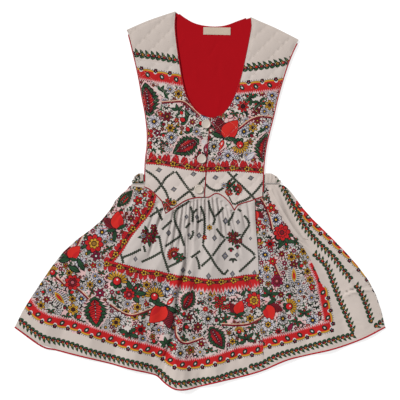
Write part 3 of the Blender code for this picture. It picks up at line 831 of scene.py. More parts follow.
class Relief:
    """A height for each place in the plane, kept on a fine grid."""

    def __init__(self, node, flat=None, blur=2.0):
        low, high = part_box(node)
        self.x0, self.y0 = low.x / MM - RELIEF_MARGIN, low.y / MM - RELIEF_MARGIN
        spans = ((high.x - low.x) / MM, (high.y - low.y) / MM)
        wide, tall = (int(span + 2 * RELIEF_MARGIN) // RAY_STEP + 2 for span in spans)
        if flat is None:
            coarse = blurred(spread(self.cast(node, wide, tall, high.z + 1)), blur / RAY_STEP)
        else:
            coarse = np.full((tall, wide), float(flat))
        self.height = upsampled(coarse, RAY_STEP // RELIEF_STEP)
        rows, columns = self.height.shape
        self.xs, self.ys = np.meshgrid(self.x0 + np.arange(columns) * RELIEF_STEP,
                                       self.y0 + np.arange(rows) * RELIEF_STEP)

    def cast(self, node, wide, tall, top):
        """Heights of a solid seen from above, with nothing where it is missed."""
        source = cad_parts[node].data
        tree = BVHTree.FromPolygons([v.co for v in source.vertices], [p.vertices for p in source.polygons])
        coarse = np.full((tall, wide), np.nan)
        down = Vector((0, 0, -1))
        for row in range(tall):
            y = (self.y0 + row * RAY_STEP) * MM
            for column in range(wide):
                hit = tree.ray_cast(Vector(((self.x0 + column * RAY_STEP) * MM, y, top)), down)
                if hit[0] is not None:
                    coarse[row, column] = hit[0].z / MM
        return coarse

    def add(self, amount):
        self.height = self.height + amount

    def keep(self, least=-np.inf, most=np.inf):
        """Keeps the cloth above what lies under it, or under what lies over it."""
        self.height = np.clip(self.height, least, most)

    def away(self, outline):
        """How far each place of the grid is from an outline."""
        return distance(closed(outline), self.xs, self.ys)

    def round_edge(self, outline, width, drop):
        """Eases the height down along an outline, as a turned edge does."""
        self.add(-drop * (1 - soft(self.away(outline) / width)))

    def crease(self, places, width, height, start=0.0, end=0.0):
        """A soft ridge, or a trough if the height is negative, along a path with eased ends."""
        left, right, low, high = extent(places)
        pad = width * CREASE_REACH
        columns = slice(self.cell(left - pad - self.x0), self.cell(right + pad - self.x0 + RELIEF_STEP))
        rows = slice(self.cell(low - pad - self.y0), self.cell(high + pad - self.y0 + RELIEF_STEP))
        xs, ys = self.xs[rows, columns], self.ys[rows, columns]
        best, share, gone = np.full(xs.shape, np.inf), np.zeros(xs.shape), 0.0
        total = sum(abs(b - a) for a, b in zip(places, places[1:]))
        for length, along, away in stretches(places, xs, ys):
            nearer = away < best
            best = np.where(nearer, away, best)
            share = np.where(nearer, (gone + along * length) / total, share)
            gone += length
        strength = (soft(share / start) if start else 1) * (soft((1 - share) / end) if end else 1)
        self.height[rows, columns] += height * strength * np.exp(-(best / width) ** 2 * 2)

    @staticmethod
    def cell(offset):
        return max(0, int(offset / RELIEF_STEP))

    def crumple(self, outline, count, length, depth, seed):
        """Small soft wrinkles in many directions, uneven in length and depth."""
        draw = random.Random(seed)
        left, right, low, high = extent(outline)
        for _ in range(count):
            place = complex(draw.uniform(left, right), draw.uniform(low, high))
            way = unit(draw.uniform(0, math.tau)) * draw.uniform(0.35, 1) * length
            bend = way * 1j * draw.uniform(-0.18, 0.18)
            path = curve([place, place + way / 2 + bend, place + way], 5)
            width, side = draw.uniform(2.5, 6.5), draw.choice((-1, 1))
            self.crease(path, width, side * depth * draw.uniform(0.35, 1), 0.45, 0.45)

    def sample(self, xs, ys):
        """Heights and unit normals at places."""
        rows, columns = self.height.shape
        u = np.clip((xs - self.x0) / RELIEF_STEP, 0, columns - 1.001)
        v = np.clip((ys - self.y0) / RELIEF_STEP, 0, rows - 1.001)
        column, row = u.astype(int), v.astype(int)
        s, t = u - column, v - row

        def read(values):
            return ((values[row, column] * (1 - s) + values[row, column + 1] * s) * (1 - t)
                    + (values[row + 1, column] * (1 - s) + values[row + 1, column + 1] * s) * t)

        slope_y, slope_x = np.gradient(self.height, RELIEF_STEP)
        normals = np.stack([-read(slope_x), -read(slope_y), np.ones(len(xs))], axis=1)
        return read(self.height), normals / np.linalg.norm(normals, axis=1)[:, None]

    def lowest(self, xs, ys, reach):
        """The least height within reach of each place, so that an underside breaks through no trough."""
        least = self.height
        for axis in (0, 1):
            for _ in range(int(reach / RELIEF_STEP)):
                least = np.minimum(least, np.minimum(np.roll(least, 1, axis), np.roll(least, -1, axis)))
        columns = np.clip(np.rint((xs - self.x0) / RELIEF_STEP).astype(int), 0, least.shape[1] - 1)
        rows = np.clip(np.rint((ys - self.y0) / RELIEF_STEP).astype(int), 0, least.shape[0] - 1)
        return least[rows, columns]


def soft(value):
    """An eased step from 0 to 1."""
    value = np.clip(value, 0, 1)
    return value * value * (3 - 2 * value)


def spread(grid):
    """Fills the unknown cells of a grid outwards from the known ones."""
    while np.isnan(grid).any():
        padded = np.pad(grid, 1, constant_values=np.nan)
        around = np.stack([padded[:-2, 1:-1], padded[2:, 1:-1], padded[1:-1, :-2], padded[1:-1, 2:]])
        counts = (~np.isnan(around)).sum(0)
        fresh = np.isnan(grid) & (counts > 0)
        grid[fresh] = np.nansum(around, 0)[fresh] / counts[fresh]
    return grid


def blurred(grid, sigma):
    reach = max(1, int(sigma * 3))
    kernel = np.exp(-0.5 * (np.arange(-reach, reach + 1) / sigma) ** 2)
    kernel /= kernel.sum()
    rows, columns = grid.shape
    padded = np.pad(grid, reach, mode="edge")
    padded = sum(weight * padded[:, index:index + columns] for index, weight in enumerate(kernel))
    return sum(weight * padded[index:index + rows, :] for index, weight in enumerate(kernel))


def upsampled(grid, times):
    """The grid with so many times as many cells each way."""
    for _ in range(2):
        count = grid.shape[1]
        fine = np.linspace(0, count - 1, (count - 1) * times + 1)
        grid = np.array([np.interp(fine, np.arange(count), line) for line in grid]).T
    return grid


# Meshes.

WELD = 0.01
LEAST_SHAPE = 0.05
SPILL_SHARE = 1.3
SPILL_AREA = 2
PRINT_ON_MAP = 0.86
REST_FROM = 0.88
REST_ON_MAP = 0.1
ROW_RATIO = 0.866
FINE_GRID = 2.4
LOW_GRID = 2.5
CORD_SIDES = 10
CORD_STEP = 3
PUCKER = 0.06
RING_EDGE = 1.25
BUTTON_SIDES = 40

# A turned button's (radius, height) pairs.
BUTTON_PROFILE = ((0, 0), (6.8, 0), (8.1, 0.3), (8.75, 0.85), (9, 1.5), (8.85, 2.1), (8.45, 2.5), (7.9, 2.75),
                  (7.3, 2.72), (6.8, 2.45), (6.3, 2.2), (5, 2.05), (2.5, 1.95), (0, 1.92))

# Each sheet's thickness and the step of its mesh.
GAUGES = {
    "bodice_front_left": (1.6, 4.0), "bodice_front_right": (1.6, 4.0), "bodice_back": (1.5, 9.0),
    "skirt_front": (1.3, 4.6), "skirt_side_right": (1.3, 4.6), "skirt_back": (1.1, 10.0),
    "back_lining": (0.9, 5.0), "label": (0.7, 2.0), "waistband_back": (2.6, 2.6),
    "casing_left": (0.8, 1.6), "casing_right": (0.8, 1.6),
}
# Its small wrinkles: how many, how long, how deep, and their seed.
WRINKLES = {
    "bodice_front_left": (90, 26, 0.35, 4), "bodice_front_right": (90, 26, 0.35, 5),
    "bodice_back": (90, 30, 0.35, 31), "back_lining": (60, 70, 0.4, 35), "label": (8, 14, 0.16, 36),
    "skirt_front": (260, 46, 0.55, 21), "skirt_side_right": (260, 46, 0.55, 22),
    "skirt_back": (160, 60, 0.3, 33),
}
# Its stitches: length, pitch, width and rise.
STITCHES = {
    "quilting": (2.6, 3.6, 0.75, 0.3), "edge_stitching": (2.2, 3.2, 0.5, 0.2),
    "skirt_stitching": (2.4, 3.6, 0.5, 0.15), "lining_seam": (2.2, 3.2, 0.45, 0.12),
    "label_stitching": (1.7, 2.5, 0.4, 0.14), "waistband_stitching": (2.2, 3.2, 0.5, 0.15),
    "casing_stitching": (2.0, 3.0, 0.5, 0.18),
}
STITCH_SINK = -0.15
STITCH_SLOPE = 0.3


def link(name, places, polygons, finish):
    """Puts a mesh in the scene as a piece of the garment, for the solid of its name if there is one."""
    mesh = bpy.data.meshes.new(name)
    mesh.from_pydata([[value * MM for value in place] for place in places], [], polygons)
    mesh.shade_smooth()
    piece = bpy.data.objects.new(name, mesh)
    bpy.context.scene.collection.objects.link(piece)
    mesh.materials.append(finish)
    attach(piece, "root")
    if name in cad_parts:
        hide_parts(name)
    return piece


def lattice_points(outline, step, margin):
    """Places of a grid of triangles inside an outline, a margin away from its edge."""
    left, right, low, high = extent(outline)
    rows = int((high - low) / (step * ROW_RATIO)) + 1
    columns = int((right - left) / step) + 2
    xs, ys = np.meshgrid(np.arange(columns) * step, np.arange(rows) * step * ROW_RATIO)
    xs = (xs + left + (np.arange(rows) % 2)[:, None] * step * 0.5).ravel()
    ys = (ys + low).ravel()
    keep = clear_inside(outline, xs, ys, margin)
    return [complex(x, y) for x, y in zip(xs[keep], ys[keep])]


def triangulated(places, faces):
    """A Delaunay mesh of places whose faces' edges are kept."""
    return delaunay_2d_cdt([Vector((place.real, place.imag)) for place in places], [], faces, 1, WELD)


def simple(shape):
    """Whether an outline turns round just once, as one that doesn't cross itself does."""
    sides = [b - a for a, b in zip(shape, shape[1:] + shape[:1]) if abs(b - a) > WELD]
    if len(sides) < 3:
        return False
    turns = sum(cmath.phase(b / a) for a, b in zip(sides, sides[1:] + sides[:1]))
    return abs(abs(turns) - math.tau) < 0.1


def printed_faces(outline, inner, paint, ground):
    """Triangles over an outline with each one's ink: that of the topmost shape which covers it.

    A shape that comes out much larger than it is has spilled over its neighbours, and is left out.
    """
    left, right, low, high = extent(outline)
    shapes = [(ground, leftward(outline))]
    for ink, shape in paint:
        x0, x1, y0, y1 = extent(shape)
        apart = x1 < left or x0 > right or y1 < low or y0 > high
        if not apart and abs(signed_area(shape)) >= LEAST_SHAPE and simple(shape):
            shapes.append((ink, leftward(shape)))
    places, faces = [], []
    for _, shape in shapes:
        faces.append(list(range(len(places), len(places) + len(shape))))
        places += shape
    corners, _, triangles, _, _, origins = triangulated(places + inner, faces)
    covered = np.zeros(len(faces))
    for (a, b, c), sources in zip(triangles, origins):
        covered[sources] += abs((corners[b] - corners[a]).cross(corners[c] - corners[a])) / 2
    sound = [cover < SPILL_SHARE * signed_area(shape) + SPILL_AREA
             for cover, (_, shape) in zip(covered, shapes)]
    kept, colours = [], []
    for face, sources in zip(triangles, origins):
        if 0 in sources:
            kept.append(face)
            colours.append(shapes[max(source for source in sources if sound[source])][0])
    used = sorted({index for face in kept for index in face})
    number = {old: new for new, old in enumerate(used)}
    places = [complex(*corners[index]) for index in used]
    return places, [[number[index] for index in face] for face in kept], colours


def border(faces):
    """The corners along the edge of a patch of faces, in order."""
    sides = set()
    for face in faces:
        sides.update(zip(face, face[1:] + face[:1]))
    ahead = {a: b for a, b in sides if (b, a) not in sides}
    loop = [min(ahead)]
    while ahead.get(loop[-1]) not in (None, loop[0]) and len(loop) <= len(ahead):
        loop.append(ahead[loop[-1]])
    return loop


def cloth(node, outline, relief, paint, finish, ground="cloth", floor=None, flip=False, finer=()):
    """A thin closed shell: the printed side, a rougher plain side and a rim between them.

    Flipped, the print is underneath, and the relief gives depths counted downwards. finer outlines a
    place for a closer mesh, where narrow folds need one.
    """
    thickness, grid = GAUGES[node]
    low_grid = grid * LOW_GRID
    inner = lattice_points(outline, grid, grid * 0.5)
    if finer:
        closer = lattice_points(plotted(finer), FINE_GRID, 0)
        inner += [place for place, keep in zip(closer, within(outline, *axes(closer))) if keep]
    places, polygons, colours = printed_faces(outline, inner, paint, ground)
    xs, ys = axes(places)
    zs, normals = relief.sample(xs, ys)
    loop = border(polygons)
    edge = [places[index] for index in loop]
    low = triangulated(edge + lattice_points(edge, low_grid, grid), [list(range(len(edge)))])
    low_xs, low_ys = axes([complex(*corner) for corner in low[0]])
    low_zs, low_normals = relief.sample(low_xs, low_ys)
    inside = np.array([all(old >= len(edge) for old in sources) for sources in low[3]])
    low_zs = np.where(inside, relief.lowest(low_xs, low_ys, low_grid), low_zs) - thickness
    if floor is not None:
        low_zs[:] = floor
        low_normals[:] = (0, 0, 1)
    count = len(places)
    below = {old: count + index for index, sources in enumerate(low[3]) for old in sources}
    polygons += [[count + index for index in reversed(face)] for face in low[2]]
    for number, here in enumerate(loop):
        after = (number + 1) % len(loop)
        polygons.append([here, below[number], below[after], loop[after]])
    colours += [ground] * (len(polygons) - len(colours))
    verts = np.concatenate([np.stack([xs, ys, zs], 1), np.stack([low_xs, low_ys, low_zs], 1)])
    normals = np.concatenate([normals, -low_normals])
    if flip:
        verts[:, 2] *= -1
        normals[:, 2] *= -1
        polygons = [polygon[::-1] for polygon in polygons]
    piece = link(node, verts.tolist(), polygons, finish)
    paint_corners(piece.data, colours)
    plan_uv(piece.data, count)
    piece.data.normals_split_custom_set_from_vertices(normals.tolist())
    return piece


def paint_corners(mesh, colours):
    """Gives each face its ink, as the colour of its corners."""
    shades = {ink: linear(ink) + [1.0] for ink in INKS}
    layer = mesh.color_attributes.new("print", "BYTE_COLOR", "CORNER")
    totals = np.zeros(len(mesh.polygons), int)
    mesh.polygons.foreach_get("loop_total", totals)
    rows = np.array([shades[ink] for ink in colours])
    layer.data.foreach_set("color", np.repeat(rows, totals, axis=0).ravel().astype(np.float32))


def plan_uv(mesh, upper):
    """A map from above: the printed side fills the square but for a strip that the rest shares."""
    co = np.zeros(len(mesh.vertices) * 3)
    mesh.vertices.foreach_get("co", co)
    plan = co.reshape(-1, 3)[:, :2]
    low, high = plan.min(0), plan.max(0)
    uv = (plan - low) / max(high - low)
    uv[:, 0] *= PRINT_ON_MAP
    uv[upper:, 0] = REST_FROM + uv[upper:, 0] / PRINT_ON_MAP * REST_ON_MAP
    layer = mesh.uv_layers.new(name="OFBake")
    index = np.zeros(len(mesh.loops), int)
    mesh.loops.foreach_get("vertex_index", index)
    layer.data.foreach_set("uv", uv[index].ravel())


def stitched(name, relief, paths, kind, finish):
    """Rows of thread: a small roof-shaped bar for each stitch, lying on the cloth."""
    length, pitch, width, rise = STITCHES[kind]
    corners, polygons = [], []
    for path in paths:
        for place, way in evenly(path, pitch):
            start, end, side = place - way * length / 2, place + way * length / 2, way * 1j * width / 2
            crest = [start + way * STITCH_SLOPE, end - way * STITCH_SLOPE]
            a, b, c, d, e, f = range(len(corners), len(corners) + 6)
            corners += [start - side, end - side, end + side, start + side] + crest
            polygons += [(a, b, f, e), (c, d, e, f), (b, c, f), (d, a, e), (d, c, b, a)]
    xs, ys = axes(corners)
    zs = relief.sample(xs, ys)[0] + np.tile([STITCH_SINK] * 4 + [rise] * 2, len(corners) // 6)
    return link(name, np.stack([xs, ys, zs], 1).tolist(), polygons, finish)


def ringed(rings, sides):
    """The sides of a tube between rings of corners."""
    return [(row * sides + side, row * sides + (side + 1) % sides, (row + 1) * sides + (side + 1) % sides,
             (row + 1) * sides + side) for row in range(rings - 1) for side in range(sides)]


def piping(node, radius):
    """A covered cord along its solid, round and slightly puckered, with closed ends."""
    path = curve(cord_path(node), CORD_STEP)
    verts = []
    for index, place in enumerate(path):
        along = (path[min(index + 1, len(path) - 1)] - path[max(index - 1, 0)]).normalized()
        across = along.cross(Vector((0, 0, 1))).normalized()
        up = across.cross(along).normalized()
        for side in range(CORD_SIDES):
            angle = math.tau * side / CORD_SIDES
            reach = radius * (1 - PUCKER * (0.5 + 0.5 * math.sin(index * 1.7 + angle)))
            verts.append(place + (across * math.cos(angle) + up * math.sin(angle)) * reach)
    ends = [tuple(reversed(range(CORD_SIDES))), tuple(range(len(verts) - CORD_SIDES, len(verts)))]
    link(node, verts, ringed(len(path), CORD_SIDES) + ends, CORD)


def cord_path(node):
    """The middle line of a cord's solid: the centres of its rings, in order from one end."""
    bm = solid_mesh(node)
    leader = list(range(len(bm.verts)))

    def head(index):
        while leader[index] != index:
            index = leader[index]
        return index

    bm.verts.index_update()
    for edge in bm.edges:
        if edge.calc_length() < RING_EDGE * MM:
            a, b = head(edge.verts[0].index), head(edge.verts[1].index)
            leader[max(a, b)] = min(a, b)
    rings = {}
    for vert in bm.verts:
        rings.setdefault(head(vert.index), []).append(vert.co / MM)
    bm.free()
    left = [sum(group, Vector()) / len(group) for group in rings.values() if len(group) > 2]
    path = [max(left, key=lambda centre: (centre - left[0]).length)]
    left.remove(path[0])
    while left:
        path.append(min(left, key=lambda centre: (centre - path[-1]).length))
        left.remove(path[-1])
    return path


def button(node):
    """A button with a raised rim, turned from its profile round the middle of its solid."""
    low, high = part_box(node)
    middle = Vector(((low.x + high.x) / 2, (low.y + high.y) / 2, low.z)) / MM
    angles = [math.tau * side / BUTTON_SIDES for side in range(BUTTON_SIDES)]
    verts = [middle + Vector((radius * math.cos(angle), radius * math.sin(angle), height))
             for radius, height in BUTTON_PROFILE[1:-1] for angle in angles]
    rows = len(BUTTON_PROFILE) - 2
    first, last = len(verts), (rows - 1) * BUTTON_SIDES
    verts += [middle + Vector((0, 0, BUTTON_PROFILE[end][1])) for end in (0, -1)]
    polygons = ringed(rows, BUTTON_SIDES)
    for side in range(BUTTON_SIDES):
        after = (side + 1) % BUTTON_SIDES
        polygons += [(first, after, side), (first + 1, last + side, last + after)]
    link(node, verts, polygons, BUTTON)


# Materials.


class Shading:
    """A new material whose nodes are added and joined in turn."""

    def __init__(self, name, rough, sheen, specular):
        self.made = bpy.data.materials.new(name)
        self.made.use_nodes = True
        self.nodes, self.links = self.made.node_tree.nodes, self.made.node_tree.links
        self.shader = self.nodes["Principled BSDF"]
        self.shader.inputs["Roughness"].default_value = rough
        self.shader.inputs["Sheen Weight"].default_value = sheen
        self.shader.inputs["Specular IOR Level"].default_value = specular
        self.place = self.nodes.new("ShaderNodeTexCoord").outputs["Object"]

    def plain(self, ink):
        node = self.nodes.new("ShaderNodeRGB")
        node.outputs[0].default_value = (*linear(ink), 1)
        return node.outputs[0]

    def printed(self):
        """The ink of each face."""
        node = self.nodes.new("ShaderNodeVertexColor")
        node.layer_name = "print"
        return node.outputs["Color"]

    def noise(self, scale, detail):
        """Soft clouds."""
        node = self.nodes.new("ShaderNodeTexNoise")
        node.inputs["Scale"].default_value = scale
        node.inputs["Detail"].default_value = detail
        self.links.new(self.place, node.inputs["Vector"])
        return node.outputs["Fac"]

    def waves(self, scale, distortion):
        """Threads both ways."""
        cross = self.nodes.new("ShaderNodeMath")
        cross.operation = "MAXIMUM"
        for index, direction in enumerate("XY"):
            wave = self.nodes.new("ShaderNodeTexWave")
            wave.bands_direction = direction
            wave.inputs["Scale"].default_value = scale
            wave.inputs["Distortion"].default_value = distortion
            self.links.new(self.place, wave.inputs["Vector"])
            self.links.new(wave.outputs["Fac"], cross.inputs[index])
        return cross.outputs[0]

    def tinted(self, source, by, low, high):
        """A colour made darker or lighter by a value from 0 to 1."""
        span = self.nodes.new("ShaderNodeMapRange")
        span.inputs["To Min"].default_value = low
        span.inputs["To Max"].default_value = high
        self.links.new(by, span.inputs["Value"])
        tint = self.nodes.new("ShaderNodeMix")
        tint.data_type = "RGBA"
        tint.blend_type = "MULTIPLY"
        tint.inputs["Factor"].default_value = 1
        self.links.new(source, tint.inputs["A"])
        self.links.new(span.outputs["Result"], tint.inputs["B"])
        return tint.outputs["Result"]

    def bump(self, height, strength, depth, normal=None):
        node = self.nodes.new("ShaderNodeBump")
        node.inputs["Strength"].default_value = strength
        node.inputs["Distance"].default_value = depth
        self.links.new(height, node.inputs["Height"])
        if normal:
            self.links.new(normal, node.inputs["Normal"])
        return node.outputs["Normal"]

    def finish(self, colour, normal):
        self.links.new(colour, self.shader.inputs["Base Color"])
        self.links.new(normal, self.shader.inputs["Normal"])
        return self.made


def cloth_material(name, ink=None, rough=0.88, vary=0.05, sheen=0.05, specular=0.18, coarse=320):
    """Woven cotton: its print or one colour, a fine weave and slight unevenness."""
    made = Shading(name, rough, sheen, specular)
    source = made.plain(ink) if ink else made.printed()
    weave = made.waves(coarse, 0.6)
    shade = made.tinted(source, made.noise(30, 5), 1 - vary, 1 + vary)
    shade = made.tinted(shade, weave, 0.94, 1.03)
    fine = made.bump(weave, 0.4, 0.0001)
    return made.finish(shade, made.bump(made.noise(85, 3), 0.4, 0.0005, fine))


def smooth_material(name, ink, rough, specular):
    """Polished or moulded: one colour with faint clouds in it."""
    made = Shading(name, rough, 0, specular)
    shade = made.tinted(made.plain(ink), made.noise(160, 4), 0.96, 1.03)
    return made.finish(shade, made.bump(made.noise(420, 2), 0.1, 0.0001))


PRINT = cloth_material("printed_cotton")
PLAIN = cloth_material("plain_cotton", "cloth")
RED = cloth_material("red_cotton", "lining", 0.85, 0.04, 0.0, 0.06)
CORD = cloth_material("covered_cord", "cord", 0.75, 0.1, 0.02, 0.15, 420)
TAPE = cloth_material("label_tape", "tape", 0.8, 0.05, 0.02, 0.2, 700)
THREAD = cloth_material("sewing_thread", "thread", 0.6, 0.12, 0.0, 0.3, 900)
BUTTON = smooth_material("button_cream", "button", 0.4, 0.4)


# Bodice fronts: where the flower field, the borders, the lattice and the large motifs lie on the chart.

FIELDS = {
    "left": ((130, 76), (156, 80), (190, 85), (200, 105), (212, 116), (212, 164), (190, 164), (165, 160),
             (136, 156)),
    "right": ((203, 118), (218, 106), (234, 90), (260, 89), (292, 86), (284, 110), (276, 164), (240, 164),
              (203, 164)),
}
LARGE = {
    "left": {
        "leaf": ((188, 118, 20, 110),),
        "seeded leaf": ((147, 99, 68, 98), (185.5, 146, 60, 208)),
        "grey cluster": ((163.8, 142, 11, -100),),
        "daisy": ((153.5, 121, 13.5), (196, 131, 10), (169.5, 89, 8.5)),
        "blue daisy": ((171, 137, 12),),
        "wine flower": ((166.6, 116, 11, 20),),
        "yellow flower": ((169.8, 127.5, 9.5, 30), (178, 93.5, 9.5)),
        "magenta flower": ((157, 132.5, 8),),
        "red flower": ((147.5, 133, 12), (147, 144.5, 11)),
        "sprig": ((176.5, 107, 13, 100), (161.7, 88, 12, 60), (166.3, 94, 10, 20)),
        "fruit": ((183.5, 120, 10, 150), (180.5, 111.5, 7, -60), (188, 130, 9, 120), (200.5, 124, 8, 100)),
        "ochre bud": ((177.5, 124.8, 15, 70), (180.7, 132.5, 14, 80)),
        "magenta pepper": ((205.5, 148, 26, 85),),
        "blossom": ((203.4, 141.6, 6.8, 20),),
    },
    "right": {
        "leaf": ((221, 136, 27, 128),),
        "pale leaf": ((244.5, 160, 28, 38),),
        "seeded leaf": ((264, 147, 60, 82),),
        "cluster": ((251, 98, 17, 150), (259, 101.5, 16, -70)),
        "grey cluster": ((209, 127, 9, 90),),
        "tulip": ((225.3, 129.5, 26, 74),),
        "pepper": ((220.7, 144.5, 27, 247),),
        "crown": ((239.3, 144, 18.5, -68),),
        "daisy": ((271.5, 95, 11), (264, 111, 9.5), (227.3, 155, 13), (266, 126.5, 11)),
        "blue daisy": ((237, 97.5, 11),),
        "grey daisy": ((213.5, 146, 12),),
        "round flower": ((242.5, 105.8, 12.5, 10),),
        "yellow flower": ((269, 104.5, 10.5), (252.5, 127, 10)),
        "sprig": ((261, 129, 10, 120),),
        "wine fruit": ((250.5, 134.5, 7, -50), (209, 138, 7, 90)),
    },
}
STEMS = {
    "left": (((161, 102.6), (171.3, 101.8), (181.3, 101.4), (186.7, 104.5), (193.7, 110.7), (199, 116)),),
    "right": (((235.5, 131), (242, 126), (249, 120.5), (257, 117), (265, 116.5), (276, 118.5)),
              ((206, 130.5), (213.5, 134), (219, 136.5))),
}
YOKE_LINES = {
    "left": (
        ((141, 167), (144.5, 169.5), (152, 174.5), (157.5, 179.8), (161, 185), (165, 190.5), (168.3, 199)),
        ((153, 193), (160.5, 185), (165, 178), (170, 174), (174.7, 170.8)),
        ((175.3, 170.8), (180, 177.5), (184.5, 184), (189.5, 190.5), (194.5, 197.5)),
        ((176.5, 200.3), (183, 195), (190, 190), (197, 185.5), (201, 181), (206, 176)),
    ),
    "right": (
        ((203, 181), (205.5, 184), (209, 187.5), (214.5, 190), (220, 189.5), (226, 184), (231, 179),
         (237, 173)),
        ((227, 171), (234, 178.5), (242, 186), (249, 193), (256, 200.5)),
        ((225, 190.5), (229.5, 197), (233, 203.5), (239, 201.5), (246, 199), (250.5, 195.5), (256, 190),
         (264, 180)),
    ),
}
YOKE_MARKS = {"left": ((173.3, 188.8), (193, 173.5), (158.5, 169.5)), "right": ((215, 177), (250.3, 177.5))}
YOKE_BLOOMS = {
    "left": {"red bouquet": ((168, 204, 13, -30),), "yellow flower": ((173.5, 202, 6.5),)},
    "right": {"cluster": ((230.5, 186.5, 15, 110),), "red crown": ((236.5, 188.6, 11.5), (229, 191, 9, -120)),
              "fruit": ((237, 193, 5, -60),), "daisy": ((223.5, 185, 6),)},
}
SHOULDER_GROUND = ((120, 58), (200, 66), (290, 62), (290, 95), (120, 95))
YOKE_GROUND = ((125, 162), (290, 162), (290, 215), (125, 215))
FIELD_SEED = {"right": 5, "left": 4}
YOKE_MARK_SIZE = 6.4
# Borders: kind, sizes, and places along them.
BODICE_BORDERS = {
    "left": (
        (vine, (10.6, 12.5), ((188, 61.8), (178.2, 60), (161.2, 56.9), (150, 55.2), (139.6, 54), (128, 51))),
        (scalloped, (12.5, 28.2, 1, 0.2), ((130, 71.5), (137, 72.8), (155, 76), (170, 78.4), (190, 82))),
        (flowered, (28.5, -1, 13, 4.5), ((141, 160), (158.2, 161), (173.8, 163.6), (188.5, 166.2),
                                         (202.8, 168.3), (212, 168.2))),
    ),
    "right": (
        (vine, (10.6, 12.5), ((296, 59.5), (270, 64.5), (255, 66.5), (238, 68.4))),
        (scalloped, (12.5, 27, 1, 0.84), ((230, 88.5), (241.3, 87.6), (258, 86.2), (292, 82.5))),
        (flowered, (28.5, -1, 11, 4.5), ((200.3, 168.2), (217.6, 167.9), (231.9, 167.5), (245.3, 168.3),
                                         (260, 169.6), (272, 170.5))),
    ),
}

# The quilting: a diamond's side, its rise, how flat its top is, how far from the edge it eases, a
# place where stitch lines cross, and how many lines there are and how far they run each way.
QUILT_SIDE = 25.0
QUILT_RISE = 1.25
QUILT_FLATNESS = 0.42
QUILT_EASE = 8
QUILT_ZERO = complex(0.15, 1.26)
QUILT_ROWS = 12
QUILT_REACH = 260


def yoke_print(side):
    """The yoke's own lattice with its marks and small blooms."""
    shapes = []
    for points in YOKE_LINES[side]:
        shapes += lattice_line(route(BORDER_STEP, *points))
    for place in plotted(YOKE_MARKS[side]):
        shapes += placed(diamond(YOKE_MARK_SIZE), place, unit(0.15))
    return shapes + motifs(YOKE_BLOOMS[side])


def front_relief(node):
    """A front's plane, fitted to its edge, with each diamond between the stitch lines swollen."""
    relief = Relief(node, flat=0)
    edge = rim(node)
    rows = np.array([(place.real, place.imag, 1) for place, _ in edge])
    tilt = np.linalg.lstsq(rows, np.array([height for _, height in edge]), rcond=None)[0]
    relief.height = relief.xs * tilt[0] + relief.ys * tilt[1] + tilt[2]
    x, y = relief.xs - QUILT_ZERO.real, relief.ys - QUILT_ZERO.imag
    a, b = ((x + way * y) / (math.sqrt(2) * QUILT_SIDE) for way in (1, -1))
    pad = np.abs(np.sin(math.pi * a) * np.sin(math.pi * b)) ** QUILT_FLATNESS
    relief.add(QUILT_RISE * pad * soft(relief.away([place for place, _ in edge]) / QUILT_EASE))
    return relief


def trimmed(path, outline, margin):
    """The runs of a path inside an outline and away from its edge."""
    runs = [[]]
    for place, keep in zip(path, clear_inside(outline, *axes(path), margin)):
        if keep:
            runs[-1].append(place)
        elif runs[-1]:
            runs.append([])
    return [run for run in runs if len(run) > 1]


def quilt_lines(outline):
    """The rows of quilting stitches both ways across an outline."""
    middle = sum(outline) / len(outline)
    paths = []
    for way in (unit(math.pi / 4), unit(-math.pi / 4)):
        across = way * 1j
        nearest = round(((middle - QUILT_ZERO) * across.conjugate()).real / QUILT_SIDE)
        for row in range(-QUILT_ROWS, QUILT_ROWS + 1):
            start = QUILT_ZERO + across * (nearest + row) * QUILT_SIDE
            along = ((middle - start) * way.conjugate()).real
            line = [start + way * (along + step) for step in range(-QUILT_REACH, QUILT_REACH + 1, 2)]
            paths += trimmed(line, outline, margin=4.0)
    return paths


def inset(outline, margin):
    """A line inside an outline, at a set distance from its edge."""
    dense = []
    outline = leftward(outline)
    for a, b in zip(outline, closed(outline)[1:]):
        count = max(1, int(abs(b - a) / 3))
        dense += [a + (b - a) * index / count for index in range(count)]
    ways = [ahead - behind for ahead, behind in zip(dense[2:] + dense[:2], dense[-2:] + dense[:-2])]
    moved = [place + way * 1j / (abs(way) or 1) * margin for place, way in zip(dense, ways)]
    return trimmed(closed(moved), outline, margin * 0.8)


def bodice_front(side):
    """A quilted front with its print, its quilting stitches and the stitching along its edge."""
    node = f"bodice_front_{side}"
    outline, relief = rim_outline(node), front_relief(node)
    relief.crumple(outline, *WRINKLES[node])
    relief.round_edge(outline, width=2.6, drop=0.5)
    field, edging = plotted(FIELDS[side]), drawn(BODICE_BORDERS[side])
    paint = [("pale", plotted(SHOULDER_GROUND)), ("white", field), ("white", plotted(YOKE_GROUND))]
    paint += flower_field(field, FIELD_SEED[side], LARGE[side], STEMS[side], edging)
    piece = cloth(node, outline, relief, paint + edging + yoke_print(side), PRINT)
    quilting = stitched(f"quilting_{side}", relief, quilt_lines(outline), "quilting", THREAD)
    edges = stitched(f"edge_stitching_{side}", relief, inset(outline, margin=3.2),
                     "edge_stitching", THREAD)


bodice_front("right")
bodice_front("left")

# The skirt: where the print lies on the chart.

